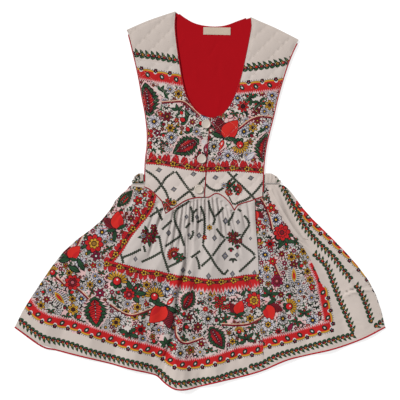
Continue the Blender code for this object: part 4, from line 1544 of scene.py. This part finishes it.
FRONT_BLOOM_FIELD = ((125, 170), (156, 182), (152, 196), (127, 234), (104, 262), (141, 272), (187, 279),
                     (206, 282), (230, 280), (270, 277), (270, 350), (230, 356), (204, 363), (179, 366),
                     (163, 354), (133, 346), (102, 336), (64, 325), (40, 318), (20, 300), (10, 290),
                     (60, 225), (110, 176))
SIDE_BLOOM_FIELD = ((246, 190), (262, 172), (267, 189), (271, 202), (281, 219), (298, 241), (310, 254),
                    (318, 272), (323, 296), (328, 328), (303, 334), (280, 339), (256, 350), (250, 290))
DIAMOND_FIELD = ((156, 182), (170, 176), (250, 186), (270, 196), (270, 279), (225, 281), (206, 282),
                 (187, 279), (141, 272), (104, 262), (127, 234))
# Where the plain panel folds over the start of the side's border.
FOLD_OVER_BORDER = ((296, 236), (303, 247), (309.5, 258), (314, 267), (317.5, 275), (320.5, 283), (327, 288),
                    (331, 270), (324, 256), (312, 240))
FRONT_LATTICE = (
    ((155.5, 206.5), (158.5, 213), (162, 220.5)),
    ((149, 216.5), (156, 211.5), (163, 208)),
    ((161.5, 229), (167, 224), (171.5, 219.5)),
    ((189, 200.5), (183, 204.5), (177, 208), (174.5, 212), (174, 219), (176.5, 226), (180, 233.5),
     (182, 240), (184, 245.5)),
    ((180.5, 235), (172, 241), (164.5, 246)),
    ((158.5, 235), (161, 247), (162, 252), (165.5, 263), (168.5, 272)),
    ((141, 261.5), (152, 256.5), (161.5, 251)),
    ((168, 266.5), (177, 262), (184, 257.5)),
    ((190, 206), (192, 213), (192, 222)),
    ((196.5, 208.5), (192.5, 213)),
    ((185, 227.5), (190, 222)),
    ((200, 205.5), (203.5, 215), (204.2, 228), (203, 240), (202, 244)),
    ((196.5, 222), (203, 218.5)),
    ((208, 200), (209.5, 207), (212, 213), (214.5, 217.5)),
    ((214.5, 216), (219, 211.5), (223.5, 206)),
    ((214.5, 217), (214, 221), (212, 224.5)),
    ((216, 228), (219, 232.5), (224, 237.5)),
    ((225, 238.5), (221, 243), (217.5, 247.5), (211.5, 256)),
    ((202, 244), (206, 250), (210.5, 256.5), (215, 264.5), (223.5, 274.5)),
    ((223.5, 274.5), (228, 269)),
    ((210, 257.5), (205, 262), (200, 266.5)),
    ((190.5, 257), (195, 254), (200, 250)),
    ((195.5, 256), (198, 262), (199, 269)),
    ((189, 239), (192.5, 234), (192, 229)),
    ((233.5, 211), (231, 217), (228, 221.5), (229, 226)),
    ((237, 208.5), (241, 211)),
    ((243.5, 215), (247, 219), (249, 224)),
    ((249, 224), (246, 229), (242.5, 234), (239.5, 240)),
    ((239, 241.5), (245, 246.5), (251, 251), (255, 255.5)),
    ((255, 256), (248, 263), (238.5, 271.5)),
    ((118.5, 250), (121, 256), (123, 263)),
    ((122, 257), (132, 253), (141, 248.5)),
    ((143, 245), (145, 252)),
)
FRONT_MARK_SCALE = 1.2
FRONT_MARKS = ((135, 258.5, 4.6), (168, 232.5, 5.4), (186, 216.3, 4.4), (196.5, 216.5, 4.6),
               (188.5, 234.5, 4), (198.5, 235, 5.6), (214, 237.5, 5.4), (225, 220.5, 6.2),
               (237.5, 221.5, 4.6), (224.5, 255.5, 7), (236.5, 254.5, 4.8), (232, 273.5, 5.4),
               (208, 275.5, 5.4), (182.5, 269.5, 5.2), (189, 271.8, 4.2), (250, 238, 3.4), (254, 272.5, 5))
FRONT_LARGE = {
    "leaf": ((129, 211, 12, 60), (57, 260.5, 28, 8), (80, 272, 30, 152), (167, 306, 24, -75),
             (240.5, 296, 18, 55)),
    "toothed leaf": ((115, 229, 26, -98), (84, 271, 32, 118)),
    "narrow leaf": ((124.5, 198, 46, 47),),
    "seeded leaf": ((188, 299.5, 46, 62), (216.5, 337.5, 54, -58)),
    "red seeded leaf": ((95, 312, 64, -86),),
    "cluster": ((131.5, 293, 26, 55), (128, 332, 20, -80), (238, 316.5, 12, 90), (246, 339.5, 18, 100)),
    "grey cluster": ((200, 303, 9, 80),),
    "tulip": ((114, 222.5, 21, 108), (70, 252, 19, 68), (162.5, 313.5, 27, -113), (236, 308.5, 17, 92)),
    "paisley": ((59, 297.5, 42, -50),),
    "pepper": ((170, 300.5, 24, 48),),
    "rosette": ((93.5, 243, 19.5, 60), (253.5, 300, 17.5, 200)),
    "wine rosette": ((72, 282, 16.5), (128.5, 294, 12)),
    "crown": ((52, 272, 14, 125), (116.5, 280.5, 21, 76), (154, 296, 19.5, 90), (238.7, 331, 10.5, 80)),
    "red bouquet": ((220, 302, 17),),
    "daisy": ((94.5, 275.5, 9.5), (127, 303.5, 9.5), (174.5, 293, 8)),
    "blue daisy": ((99, 281, 11), (167, 288.5, 13), (142.5, 338, 9.5)),
    "grey daisy": ((117, 319, 17), (207.7, 318.2, 13), (180, 352.5, 12)),
    "red flower": ((137.5, 200, 10), (172, 346, 10)),
    "round flower": ((140, 329, 12),),
    "scarlet flower": ((136, 210, 8.5),),
    "wine flower": ((130.5, 218, 8), (197.5, 326.5, 10)),
    "magenta flower": ((95.5, 255.5, 10.5),),
    "yellow flower": ((89.5, 284, 8), (72.6, 309, 12), (137, 306.5, 9.5), (115.5, 322, 10.5),
                      (232, 341, 7.5), (249.5, 318, 9)),
    "ochre flower": ((152, 336, 7), (190, 349.5, 10)),
    "magenta star": ((99.5, 292.5, 12.5, 10),),
    "star": ((205, 308.5, 8),),
    "fruit": ((77, 317, 9, 30), (183, 314, 7, 60), (185, 326, 8, -20)),
    "full sprig": ((165, 340, 14, 100),),
}
LATTICE_BLOOMS = {
    "bouquet": ((148.5, 235.5, 20, 90), (233, 237, 15)),
    "daisy": ((142.5, 235, 6),),
    "red crown": ((174, 254, 15, 138),),
    "cluster": ((179, 256.5, 12, -63),),
    "wine fruit": ((230.5, 249, 6, -90), (237, 246, 6, -90)),
    "grey sprig": ((232.5, 260, 9, -90),),
    "yellow flower": ((209, 227, 6.2),),
    "red flower": ((204, 237, 5.5),),
}
FRONT_STEMS = (
    ((75, 287), (83, 294), (89.5, 300.5)),
    ((109, 304), (116.5, 309.5), (125, 314), (133, 315), (143, 312), (153, 308)),
    ((174.4, 325.5), (175, 334), (180, 341), (186.6, 343.2), (194.4, 341), (203, 337.7)),
    ((221, 324.3), (234.3, 325), (246.5, 324.3), (255.4, 321), (266, 315)),
    ((82, 233), (78.5, 240), (75.5, 247)),
    ((54, 276), (60, 281), (65, 286)),
)
SIDE_LARGE = {
    "cluster": ((284, 239, 20, -70), (268.7, 295, 19, 70), (304, 314, 15, 90)),
    "grey cluster": ((254.5, 203.5, 12, 80),),
    "tulip": ((256.5, 214, 13, -80), (270.5, 309, 20, -52)),
    "paisley": ((293.5, 274.5, 38, 93),),
    "red rosette": ((281.5, 232, 17.5, 120),),
    "magenta rosette": ((276.3, 280.6, 13),),
    "crown": ((257, 229, 9, 200), (259, 240, 10, 250), (288.5, 306, 17, 20)),
    "magenta bud": ((289, 328, 30, 60),),
    "daisy": ((267.6, 324, 14), (311, 297, 10), (258, 335, 10)),
    "blue daisy": ((300, 291, 9),),
    "scarlet flower": ((270.8, 207.3, 10),),
    "red flower": ((263, 226.5, 6),),
    "round flower": ((269.5, 243.5, 10.5), (278, 331, 8)),
    "yellow flower": ((291, 256.4, 9.5), (266, 268, 7.5), (309.4, 279, 8.5), (267.6, 324, 7)),
    "star": ((272, 260.7, 11, 20),),
}
SIDE_STEMS = (
    ((259.7, 198), (265, 207), (269, 218), (271.4, 229)),
    ((273, 262), (276, 270), (279, 276)),
    ((255, 321), (262, 316.6), (268, 311)),
)
FRONT_SEED = 11
SIDE_SEED = 12
# Borders: kind, sizes, and places along them.
FRONT_BORDERS = (
    (flowered, (30, 1, 6), ((154, 186), (152.5, 195), (148, 209), (138, 222), (127.5, 235), (119, 249),
        (107, 263.5))),
    (flowered, (25, 1, 9), ((104, 263), (118, 266), (128, 268.5), (141, 272), (157, 273.5), (163, 275.5),
        (172, 277))),
    (flowered, (24, 1, 16, 5, True), ((170, 277), (177, 278.3), (187, 279), (206.6, 282), (220, 281.6),
        (230, 280.5), (247, 277.8), (270, 277))),
)
HEM_BORDERS = (
    (scalloped, (10.5, 25, -1, 0.9), ((24, 294), (26, 299), (30, 306), (36, 312.5), (46, 318), (58.5, 321.5),
        (71.4, 324), (84, 328.3), (96.3, 332.5), (109, 337), (121.3, 341.5), (133.5, 344.5), (150, 348.8),
        (161, 352), (167, 356.5), (173, 361), (183.3, 363.5), (197, 362.5), (216.5, 358.5), (229, 354.5),
        (239, 351.5), (252, 349.5), (272, 346))),
    (vine, (9.4, 11.0), ((14, 316), (20.6, 321), (29.6, 328.4), (36.2, 333.3), (46, 338.2), (59, 341),
        (75.5, 345.7), (86, 349.6), (100, 353.7), (116.4, 358.3), (130, 361.5), (143, 364.5), (150, 366.8),
        (155.5, 368.5), (162, 374), (170, 380.5), (176.6, 382.8), (192, 381.2), (203, 379.8), (216.5, 378),
        (227.6, 374.5), (238.7, 371), (246, 370))),
    (vine, (9.4, 11.0), ((248.5, 366.8), (261, 364), (270, 358.5))),
)
SIDE_BORDER_UNDER_FOLD = (
    (scalloped, (9.0, 25, 1), ((311.5, 262), (317, 273), (320.5, 284), (323, 297), (325.5, 310), (328, 323),
        (328.3, 327))),
)
SIDE_BORDERS = (
    (scalloped, (10.5, 25, 1), ((330, 325), (318, 328.5), (303, 333), (291, 336.5), (279, 339), (268, 341.5),
        (262, 342.5), (250, 345))),
    (scalloped, (10, 26, -1), ((296.5, 200), (304, 211), (311, 218.8), (318, 225.2), (327.5, 233.2),
        (337, 242.2), (347, 251.4), (357, 261), (367, 272), (376, 284), (381.5, 293), (385.5, 304),
        (390, 318))),
    (vine, (9.2, 10.4, -1), ((313.5, 252.5), (319.2, 258.5), (323.5, 262), (328, 269.3), (331, 277),
        (334.6, 287), (338.3, 297), (344, 310), (349.5, 323), (354, 333))),
    (vine, (9.4, 10.8, -1), ((354, 334), (350, 335.3), (332.5, 339.5), (310, 346), (296, 350), (283, 353),
        (272, 357.5), (261, 364), (250, 368))),
    (vine, (9.2, 10.4), ((279, 176), (283, 187), (287.3, 195.7), (291.6, 204.3), (296, 211.6), (300, 219.5),
        (305, 227), (311.3, 235), (318.6, 243), (326, 249.7), (333.4, 257), (339.5, 265.2), (345.6, 273),
        (351.8, 280.4))),
    (vine, (9.2, 10.4, -1), ((355, 284), (359, 290), (362.8, 297), (367, 308), (371, 321))),
    (vine, (9.2, 10.4), ((374, 327), (385, 319))),
)


def side_borders():
    """The borders that turn up beside the field at the right, the first of them under a fold."""
    return drawn(SIDE_BORDER_UNDER_FOLD) + [("cloth", plotted(FOLD_OVER_BORDER))] + drawn(SIDE_BORDERS)


def lattice_print():
    """The lattice on the front's pale field, with its marks and blooms."""
    shapes = []
    for points in FRONT_LATTICE:
        shapes += lattice_line(route(STEM_STEP, *points))
    for x, y, size in FRONT_MARKS:
        shapes += placed(diamond(size * FRONT_MARK_SCALE, 0.78), at(x, y), unit(1.5))
    return shapes + motifs(LATTICE_BLOOMS)


def skirt_front_print():
    """The lattice field, the flower field round it and the borders of the front."""
    field, edging = plotted(FRONT_BLOOM_FIELD), drawn(FRONT_BORDERS + HEM_BORDERS)
    # Both fields lie on the darker shade ground; over the lattice field it is partly painted shade for the
    # gathers' shadows.
    return ([("shade", plotted(DIAMOND_FIELD)), ("shade", field)]
            + flower_field(field, FRONT_SEED, FRONT_LARGE, FRONT_STEMS, edging) + lattice_print() + edging)


def skirt_side_print():
    """The flower field at the right and the borders that turn up beside it."""
    field, edging = plotted(SIDE_BLOOM_FIELD), side_borders()
    return [("shade", field)] + flower_field(field, SIDE_SEED, SIDE_LARGE, SIDE_STEMS, edging) + edging


FOLD_DEPTH = 1.25
FOLD_STEP = 4
GATHER_EASE = (0.03, 0.5)
# Gathers under the yoke, straight: the two ends' places on the chart, width and height.
GATHERS = (
    (191, 200, 186, 272, 3.4, -4.2), (194, 199, 193, 228, 2.4, -3.0), (197.5, 198.5, 198, 246, 2.8, -3.4),
    (201.5, 198, 201, 226, 2.2, -2.8), (205, 198, 204, 254, 3.2, -4.2), (208.5, 197, 210.5, 228, 2.4, -2.8),
    (212.5, 196, 215.5, 228, 2.8, -2.8), (217, 197, 224, 244, 3.4, -3.0), (221, 200, 231, 254, 3.6, -2.8),
    (226, 204, 234, 236, 3.2, -2.2), (231, 209, 242, 268, 4.0, -2.8), (240, 204, 249, 242, 4.0, -2.2),
    (247, 201, 252, 238, 3.2, -2.0), (183, 204, 178, 256, 3.2, -3.2), (187, 202, 184, 234, 2.6, -2.8),
    (179, 206, 170, 262, 3.4, -3.0), (174, 209, 162, 266, 3.6, -3.2), (163, 207, 145, 268, 4.0, -2.8),
    (158, 201, 137, 258, 4.0, -2.6), (153, 195, 121, 254, 4.2, -2.4), (147, 190, 120, 230, 4.0, -2.0),
    (142, 188, 108, 228, 4.0, -1.6), (192.3, 200, 190.8, 236, 2.6, 1.6), (195.8, 199, 195.6, 236, 2.6, 1.6),
    (203.3, 198, 203.4, 236, 2.6, 1.6), (207, 198, 208, 240, 2.8, 1.6), (210.7, 197, 213.5, 240, 3.0, 1.5),
    (215, 197, 219, 240, 3.4, 1.4), (181, 206, 175.5, 242, 3.4, 1.4), (176.5, 208, 168, 246, 3.4, 1.4),
    (161, 206, 149, 242, 3.8, 1.3), (228, 206, 237, 244, 3.8, 1.2),
)
SIDE_GATHERS = (
    (255, 205, 260, 290, 3.6, -2.4), (263, 196, 275, 240, 4.0, -2.4), (260, 200, 267, 250, 4.0, 1.6),
)
# Longer folds: places on the chart, width, height, and how much of each end is eased.
LONG_FOLDS = (
    (((152, 206), (176, 220), (205, 210), (234, 219), (262, 206)), 30, 2.6, 0.1, 0.1),
    (((185.5, 232), (185.2, 252), (184, 266), (181.5, 284), (177.5, 298)), 3.0, -5.6, 0.2, 0.25),
    (((187.5, 212), (190, 230), (189, 255), (178.6, 293), (176, 314), (171.4, 339),
     (160, 373)), 5, -7.2, 0.2, 0.02),
    (((183, 232), (183, 256), (172, 294), (169, 316), (158, 362)), 9, 3, 0.3, 0.06),
    (((195, 246), (193, 266), (184, 304), (181, 326), (172, 370)), 8, 2.2, 0.3, 0.1),
    (((160, 262), (152, 292), (140, 350)), 9, -2.4, 0.4, 0.1),
    (((150, 262), (140, 292), (124, 346)), 10, 1.8, 0.4, 0.1),
    (((118, 262), (104, 292), (84, 330)), 10, -2.2, 0.4, 0.1),
    (((106, 254), (90, 286), (68, 322)), 10, 1.6, 0.4, 0.1),
    (((92, 250), (70, 290), (48, 322)), 9, -2, 0.4, 0.2),
    (((212, 262), (212, 300), (205, 376)), 10, -2.4, 0.4, 0.1),
    (((222, 262), (226, 300), (222, 372)), 10, 1.8, 0.4, 0.1),
    (((233, 262), (238, 300), (238, 366)), 10, -2.2, 0.4, 0.1),
    (((140, 240), (122, 270), (112, 300)), 8, 1.6, 0.4, 0.4),
)
SIDE_FOLDS = (
    (((266, 186), (271.4, 200.6), (281.8, 217.8), (294, 236.2), (313, 252)), 3.2, -3.2, 0.02, 0.2),
    (((269.4, 186), (275, 199), (285.8, 216.6), (298.4, 235), (313, 247)), 3.8, 1.6, 0.05, 0.3),
    (((278.8, 184), (284.3, 193.2), (291.6, 211.6), (299.5, 229), (317, 257)), 3.2, -2.6, 0.02, 0.3),
    (((283, 184), (288, 193), (295.8, 211.2), (305, 230), (314, 244)), 4.2, 1.6, 0.05, 0.4),
    (((340.7, 294.5), (353, 289), (370.2, 285.9), (378, 285)), 2.4, -2.4, 0.2, 0.05),
    (((340.7, 297.5), (353, 292), (370.2, 289), (378, 288)), 3.4, 1.2, 0.2, 0.05),
    (((278, 262), (284, 296), (288, 334)), 9, -2.2, 0.4, 0.1),
    (((300, 262), (308, 292), (312, 330)), 9, 1.8, 0.4, 0.2),
    (((322, 254), (337, 286), (346, 322)), 8, -2, 0.4, 0.2),
    (((338, 262), (352, 286), (368, 312)), 8, 1.6, 0.4, 0.3),
)
# Where narrow folds need a closer mesh.
FRONT_FOLD_AREA = ((138, 188), (206, 197), (266, 192), (260, 244), (224, 262), (200, 300), (172, 372),
                   (156, 372), (176, 300), (150, 258), (118, 240))
SIDE_FOLD_AREA = ((254, 186), (284, 182), (322, 256), (306, 254), (254, 226))
SKIRT_FLOOR = 2.75


def skirt_panel(node, paint, gathers, folds, fold_area):
    """A panel of the skirt, folded as its solid is, with finer gathers and wrinkles."""
    outline, relief = rim_outline(node), Relief(node)
    for x0, y0, x1, y1, width, height in gathers:
        relief.crease(route(FOLD_STEP, (x0, y0), (x1, y1)), width, height * FOLD_DEPTH, *GATHER_EASE)
    for points, width, height, start, end in folds:
        relief.crease(route(FOLD_STEP, *points), width, height * FOLD_DEPTH, start, end)
    relief.crumple(outline, *WRINKLES[node])
    relief.round_edge(outline, width=2.4, drop=0.5)
    relief.keep(SKIRT_FLOOR)
    piece = cloth(node, outline, relief, paint, PRINT, finer=fold_area)
    edges = stitched(f"{node}_stitching", relief, inset(outline, margin=4.0),
                     "skirt_stitching", THREAD)


skirt_panel("skirt_front", skirt_front_print(), GATHERS, LONG_FOLDS, FRONT_FOLD_AREA)
skirt_panel("skirt_side_right", skirt_side_print(), SIDE_GATHERS, SIDE_FOLDS, SIDE_FOLD_AREA)

# The back, the lining and the waist casing.

BACK_FIELD = ((124, 78), (200, 84), (300, 78), (300, 174), (124, 174))
BACK_WAIST = ((140, 184), (270, 184), (286, 236), (230, 262), (160, 262), (112, 240))
BACK_BODICE_SEED = 32
BACK_SKIRT_SEED = 34
LINING_SEAM = ((186.5, 88), (199, 107), (211, 114.8), (221, 112), (238, 92))
# How far the lining is drawn towards its cord, and from how far away.
LINING_STEP = 1.9
LINING_REACH = 3.6

# How high the flat sheets lie, the undersides that don't follow them, and the least and greatest heights.
LINING_HEIGHT = 2.85
LINING_FLOOR = 1.95
LINING_LIMITS = (2.5, 3.12)
LABEL_HEIGHT = 3.95
LABEL_FLOOR = 3.25
BAND_HEIGHT = 2.75
BAND_BOX = (-131, 156, 33, 51)
BAND_ROWS = (36.6, 42.3, 48)
CASING_LEAST = 4.0
SPRIG_SEED = 9
SPRIG_COUNT = 26
SPRIG_SIZE = 4.2


def back_panel(node, paint):
    """A flat panel of the back, printed side down, whose wrinkles stay above the surface it lies on."""
    outline, relief = rim_outline(node), Relief(node, flat=0)
    relief.crumple(outline, *WRINKLES[node])
    relief.keep(most=0)
    cloth(node, outline, relief, paint, PRINT, flip=True)


def back_bodice():
    """The back of the bodice, with the borders of the fronts carried round."""
    field = plotted(BACK_FIELD)
    paint = [("white", field)] + filled(field, Room(), BACK_BODICE_SEED, BACK_FILLERS)
    back_panel("bodice_back", paint + drawn(BODICE_BORDERS["left"] + BODICE_BORDERS["right"]))


def back_skirt():
    """The back of the skirt, with the hem's borders carried round."""
    outline = rim_outline("skirt_back")
    paint = [("white", outline)] + filled(outline, Room(), BACK_SKIRT_SEED, BACK_FILLERS)
    paint.append(("pale", plotted(BACK_WAIST)))
    back_panel("skirt_back", paint + drawn(HEM_BORDERS) + side_borders())


def drawn_to(outline, cord, reach, step):
    """An outline whose places within reach of a cord are moved a step towards it."""
    line = [complex(place.x, place.y) for place in curve(cord_path(cord), 1)]
    drawn = []
    for place in outline:
        away = min((spot - place for spot in line), key=abs)
        drawn.append(place + away / abs(away) * step if abs(away) < reach else place)
    return drawn


def lining():
    """The plain red lining of the back, seen through the neck, right up to its cord."""
    outline = drawn_to(rim_outline("back_lining"), "piping_neck_back", LINING_REACH, LINING_STEP)
    relief = Relief("back_lining", flat=LINING_HEIGHT)
    relief.crumple(outline, *WRINKLES["back_lining"])
    relief.keep(*LINING_LIMITS)
    piece = cloth("back_lining", outline, relief, [], RED, "lining", LINING_FLOOR)
    seam = stitched("lining_seam", relief, [route(3, *LINING_SEAM)], "lining_seam", RED)


def neck_label():
    """The neck's tape, bare, folded under and sewn down all round."""
    outline, relief = rim_outline("label"), Relief("label", flat=LABEL_HEIGHT)
    relief.crumple(outline, *WRINKLES["label"])
    relief.round_edge(outline, width=1.4, drop=0.35)
    piece = cloth("label", outline, relief, [], TAPE, "tape", LABEL_FLOOR)
    seam = stitched("label_stitching", relief, inset(outline, margin=1.6), "label_stitching",
                    THREAD)


def pinches(relief, x0, x1, y0, y1, spacing, depth, seed):
    """The small upright folds that elastic draws in a casing."""
    draw = random.Random(seed)
    x = x0
    while x < x1:
        lean = draw.uniform(-0.8, 0.8)
        middle = complex(x + draw.uniform(-0.4, 0.4), (y0 + y1) / 2)
        path = curve([complex(x - lean, y0), middle, complex(x + lean, y1)], 3)
        relief.crease(path, spacing * 0.42, -depth * draw.uniform(0.6, 1))
        x += spacing * draw.uniform(0.75, 1.25)


def level_rows(left, right, heights, step):
    """Straight rows of stitches along a casing."""
    return [curve([complex(left, y), complex(right, y)], step) for y in heights]


def waistband():
    """The elastic casing across the back, drawn in."""
    node = "waistband_back"
    relief = Relief(node, flat=BAND_HEIGHT)
    pinches(relief, *BAND_BOX, spacing=4.2, depth=0.8, seed=37)
    piece = cloth(node, rim_outline(node), relief, [], PLAIN, floor=0)
    rows = level_rows(BAND_BOX[0] + 1, BAND_BOX[1] - 1, BAND_ROWS, 3)
    seams = stitched("waistband_stitching", relief, rows, "waistband_stitching", THREAD)


def casing(side, paint, seed):
    """An end of the waist casing that comes round to the front, with its elastic's folds."""
    node = f"casing_{side}"
    (left, low), (right, high) = casing_box(side)
    outline, relief = rim_outline(node), Relief(node, blur=1.2)
    pinches(relief, left, right, low, high, spacing=3.4, depth=1.0, seed=seed)
    relief.round_edge(outline, width=1.6, drop=0.4)
    relief.keep(CASING_LEAST)
    rows = level_rows(left + 2, right - 2, (low + 3.2, (low + high) / 2, high - 3.2), 2)
    piece = cloth(node, outline, relief, paint, PRINT)
    seams = stitched(f"{node}_stitching", relief, rows, "casing_stitching", THREAD)


def casing_box(side):
    """The least and greatest (x, y) of a casing's end."""
    return [(corner.x / MM, corner.y / MM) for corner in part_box(f"casing_{side}")]


def casing_sprigs():
    """Small sprigs over the casing's left end."""
    draw = random.Random(SPRIG_SEED)
    (left, low), (right, high) = casing_box("left")
    shapes = []
    for index in range(SPRIG_COUNT):
        spray = sprig(SPRIG_SIZE, ("green", "deep_green", "ochre")[index % 3])
        shapes += placed(spray, complex(draw.uniform(left, right), draw.uniform(low, high)), unit(index))
    return shapes


back_bodice()
back_skirt()
waistband()
lining()
neck_label()
casing("left", casing_sprigs(), 38)
casing("right", vine(route(4, (277, 171), (278.6, 176), (280.5, 183)), 10, 10), 39)


# Piping and buttons.

CORD_RADII = {"armhole_left": 1.1, "armhole_right": 1.1, "hem": 1.6, "front_edge": 0.65,
              "yoke_left": 0.8, "yoke_right": 0.8, "neck_left": 0.8, "neck_right": 0.8, "neck_back": 1.1}
for cord, radius in CORD_RADII.items():
    piping(f"piping_{cord}", radius)
for number in (1, 2, 3):
    button(f"button_{number}")


# Stage, light and camera.

FLOOR_SIDE = 6.0
FLOOR_DEPTH = 0.0005
FLOOR_GLOW = 0.74
ROOM_GLOW = 0.27
CAMERA_HEIGHT = 2.6
CLOTH_HEIGHT = 0.006
SENSOR = 36.0
WHITE = (1, 1, 1, 1)


def floor():
    """A white sheet lit from below, as a cut-out's white ground is."""
    bpy.ops.mesh.primitive_plane_add(size=FLOOR_SIDE, location=(0, 0, -FLOOR_DEPTH))
    plane = bpy.context.object
    plane.name = "floor"
    sheet = bpy.data.materials.new("floor")
    sheet.use_nodes = True
    inputs = sheet.node_tree.nodes["Principled BSDF"].inputs
    inputs["Base Color"].default_value = (0.36, 0.36, 0.36, 1)
    inputs["Roughness"].default_value = 0.9
    inputs["Emission Color"].default_value = WHITE
    inputs["Emission Strength"].default_value = FLOOR_GLOW
    plane.data.materials.append(sheet)


def lamp(name, kind, place, power):
    """A light that shines from a place at the middle of the garment."""
    data = bpy.data.lights.new(name, kind)
    data.energy = power
    item = bpy.data.objects.new(name, data)
    item.location = place
    item.rotation_euler = Vector(place).to_track_quat("Z", "Y").to_euler()
    bpy.context.scene.collection.objects.link(item)
    return data


def light():
    """A fairly soft sun from the upper left, a wide lamp from the right and a bright room."""
    lamp("key", "SUN", (-1.7, 1.4, 2.0), 3.3).angle = 0.3
    fill = lamp("fill", "AREA", (1.8, -0.6, 2.6), 13)
    fill.shape = "DISK"
    fill.size = 2.0
    world = bpy.data.worlds.new("soft_room")
    world.use_nodes = True
    inputs = world.node_tree.nodes["Background"].inputs
    inputs["Color"].default_value = WHITE
    inputs["Strength"].default_value = ROOM_GLOW
    bpy.context.scene.world = world
    bpy.context.scene.view_settings.view_transform = "Standard"


def camera():
    """Straight above the garment, framed as its chart is."""
    data = bpy.data.cameras.new("camera")
    data.sensor_width = SENSOR
    data.lens = SENSOR * (CAMERA_HEIGHT - CLOTH_HEIGHT) / (CHART_SIDE * CHART_UNIT * MM)
    item = bpy.data.objects.new("camera", data)
    item.location = (0.00015, 0.00126, CAMERA_HEIGHT)
    bpy.context.scene.collection.objects.link(item)
    bpy.context.scene.camera = item


floor()
light()
camera()
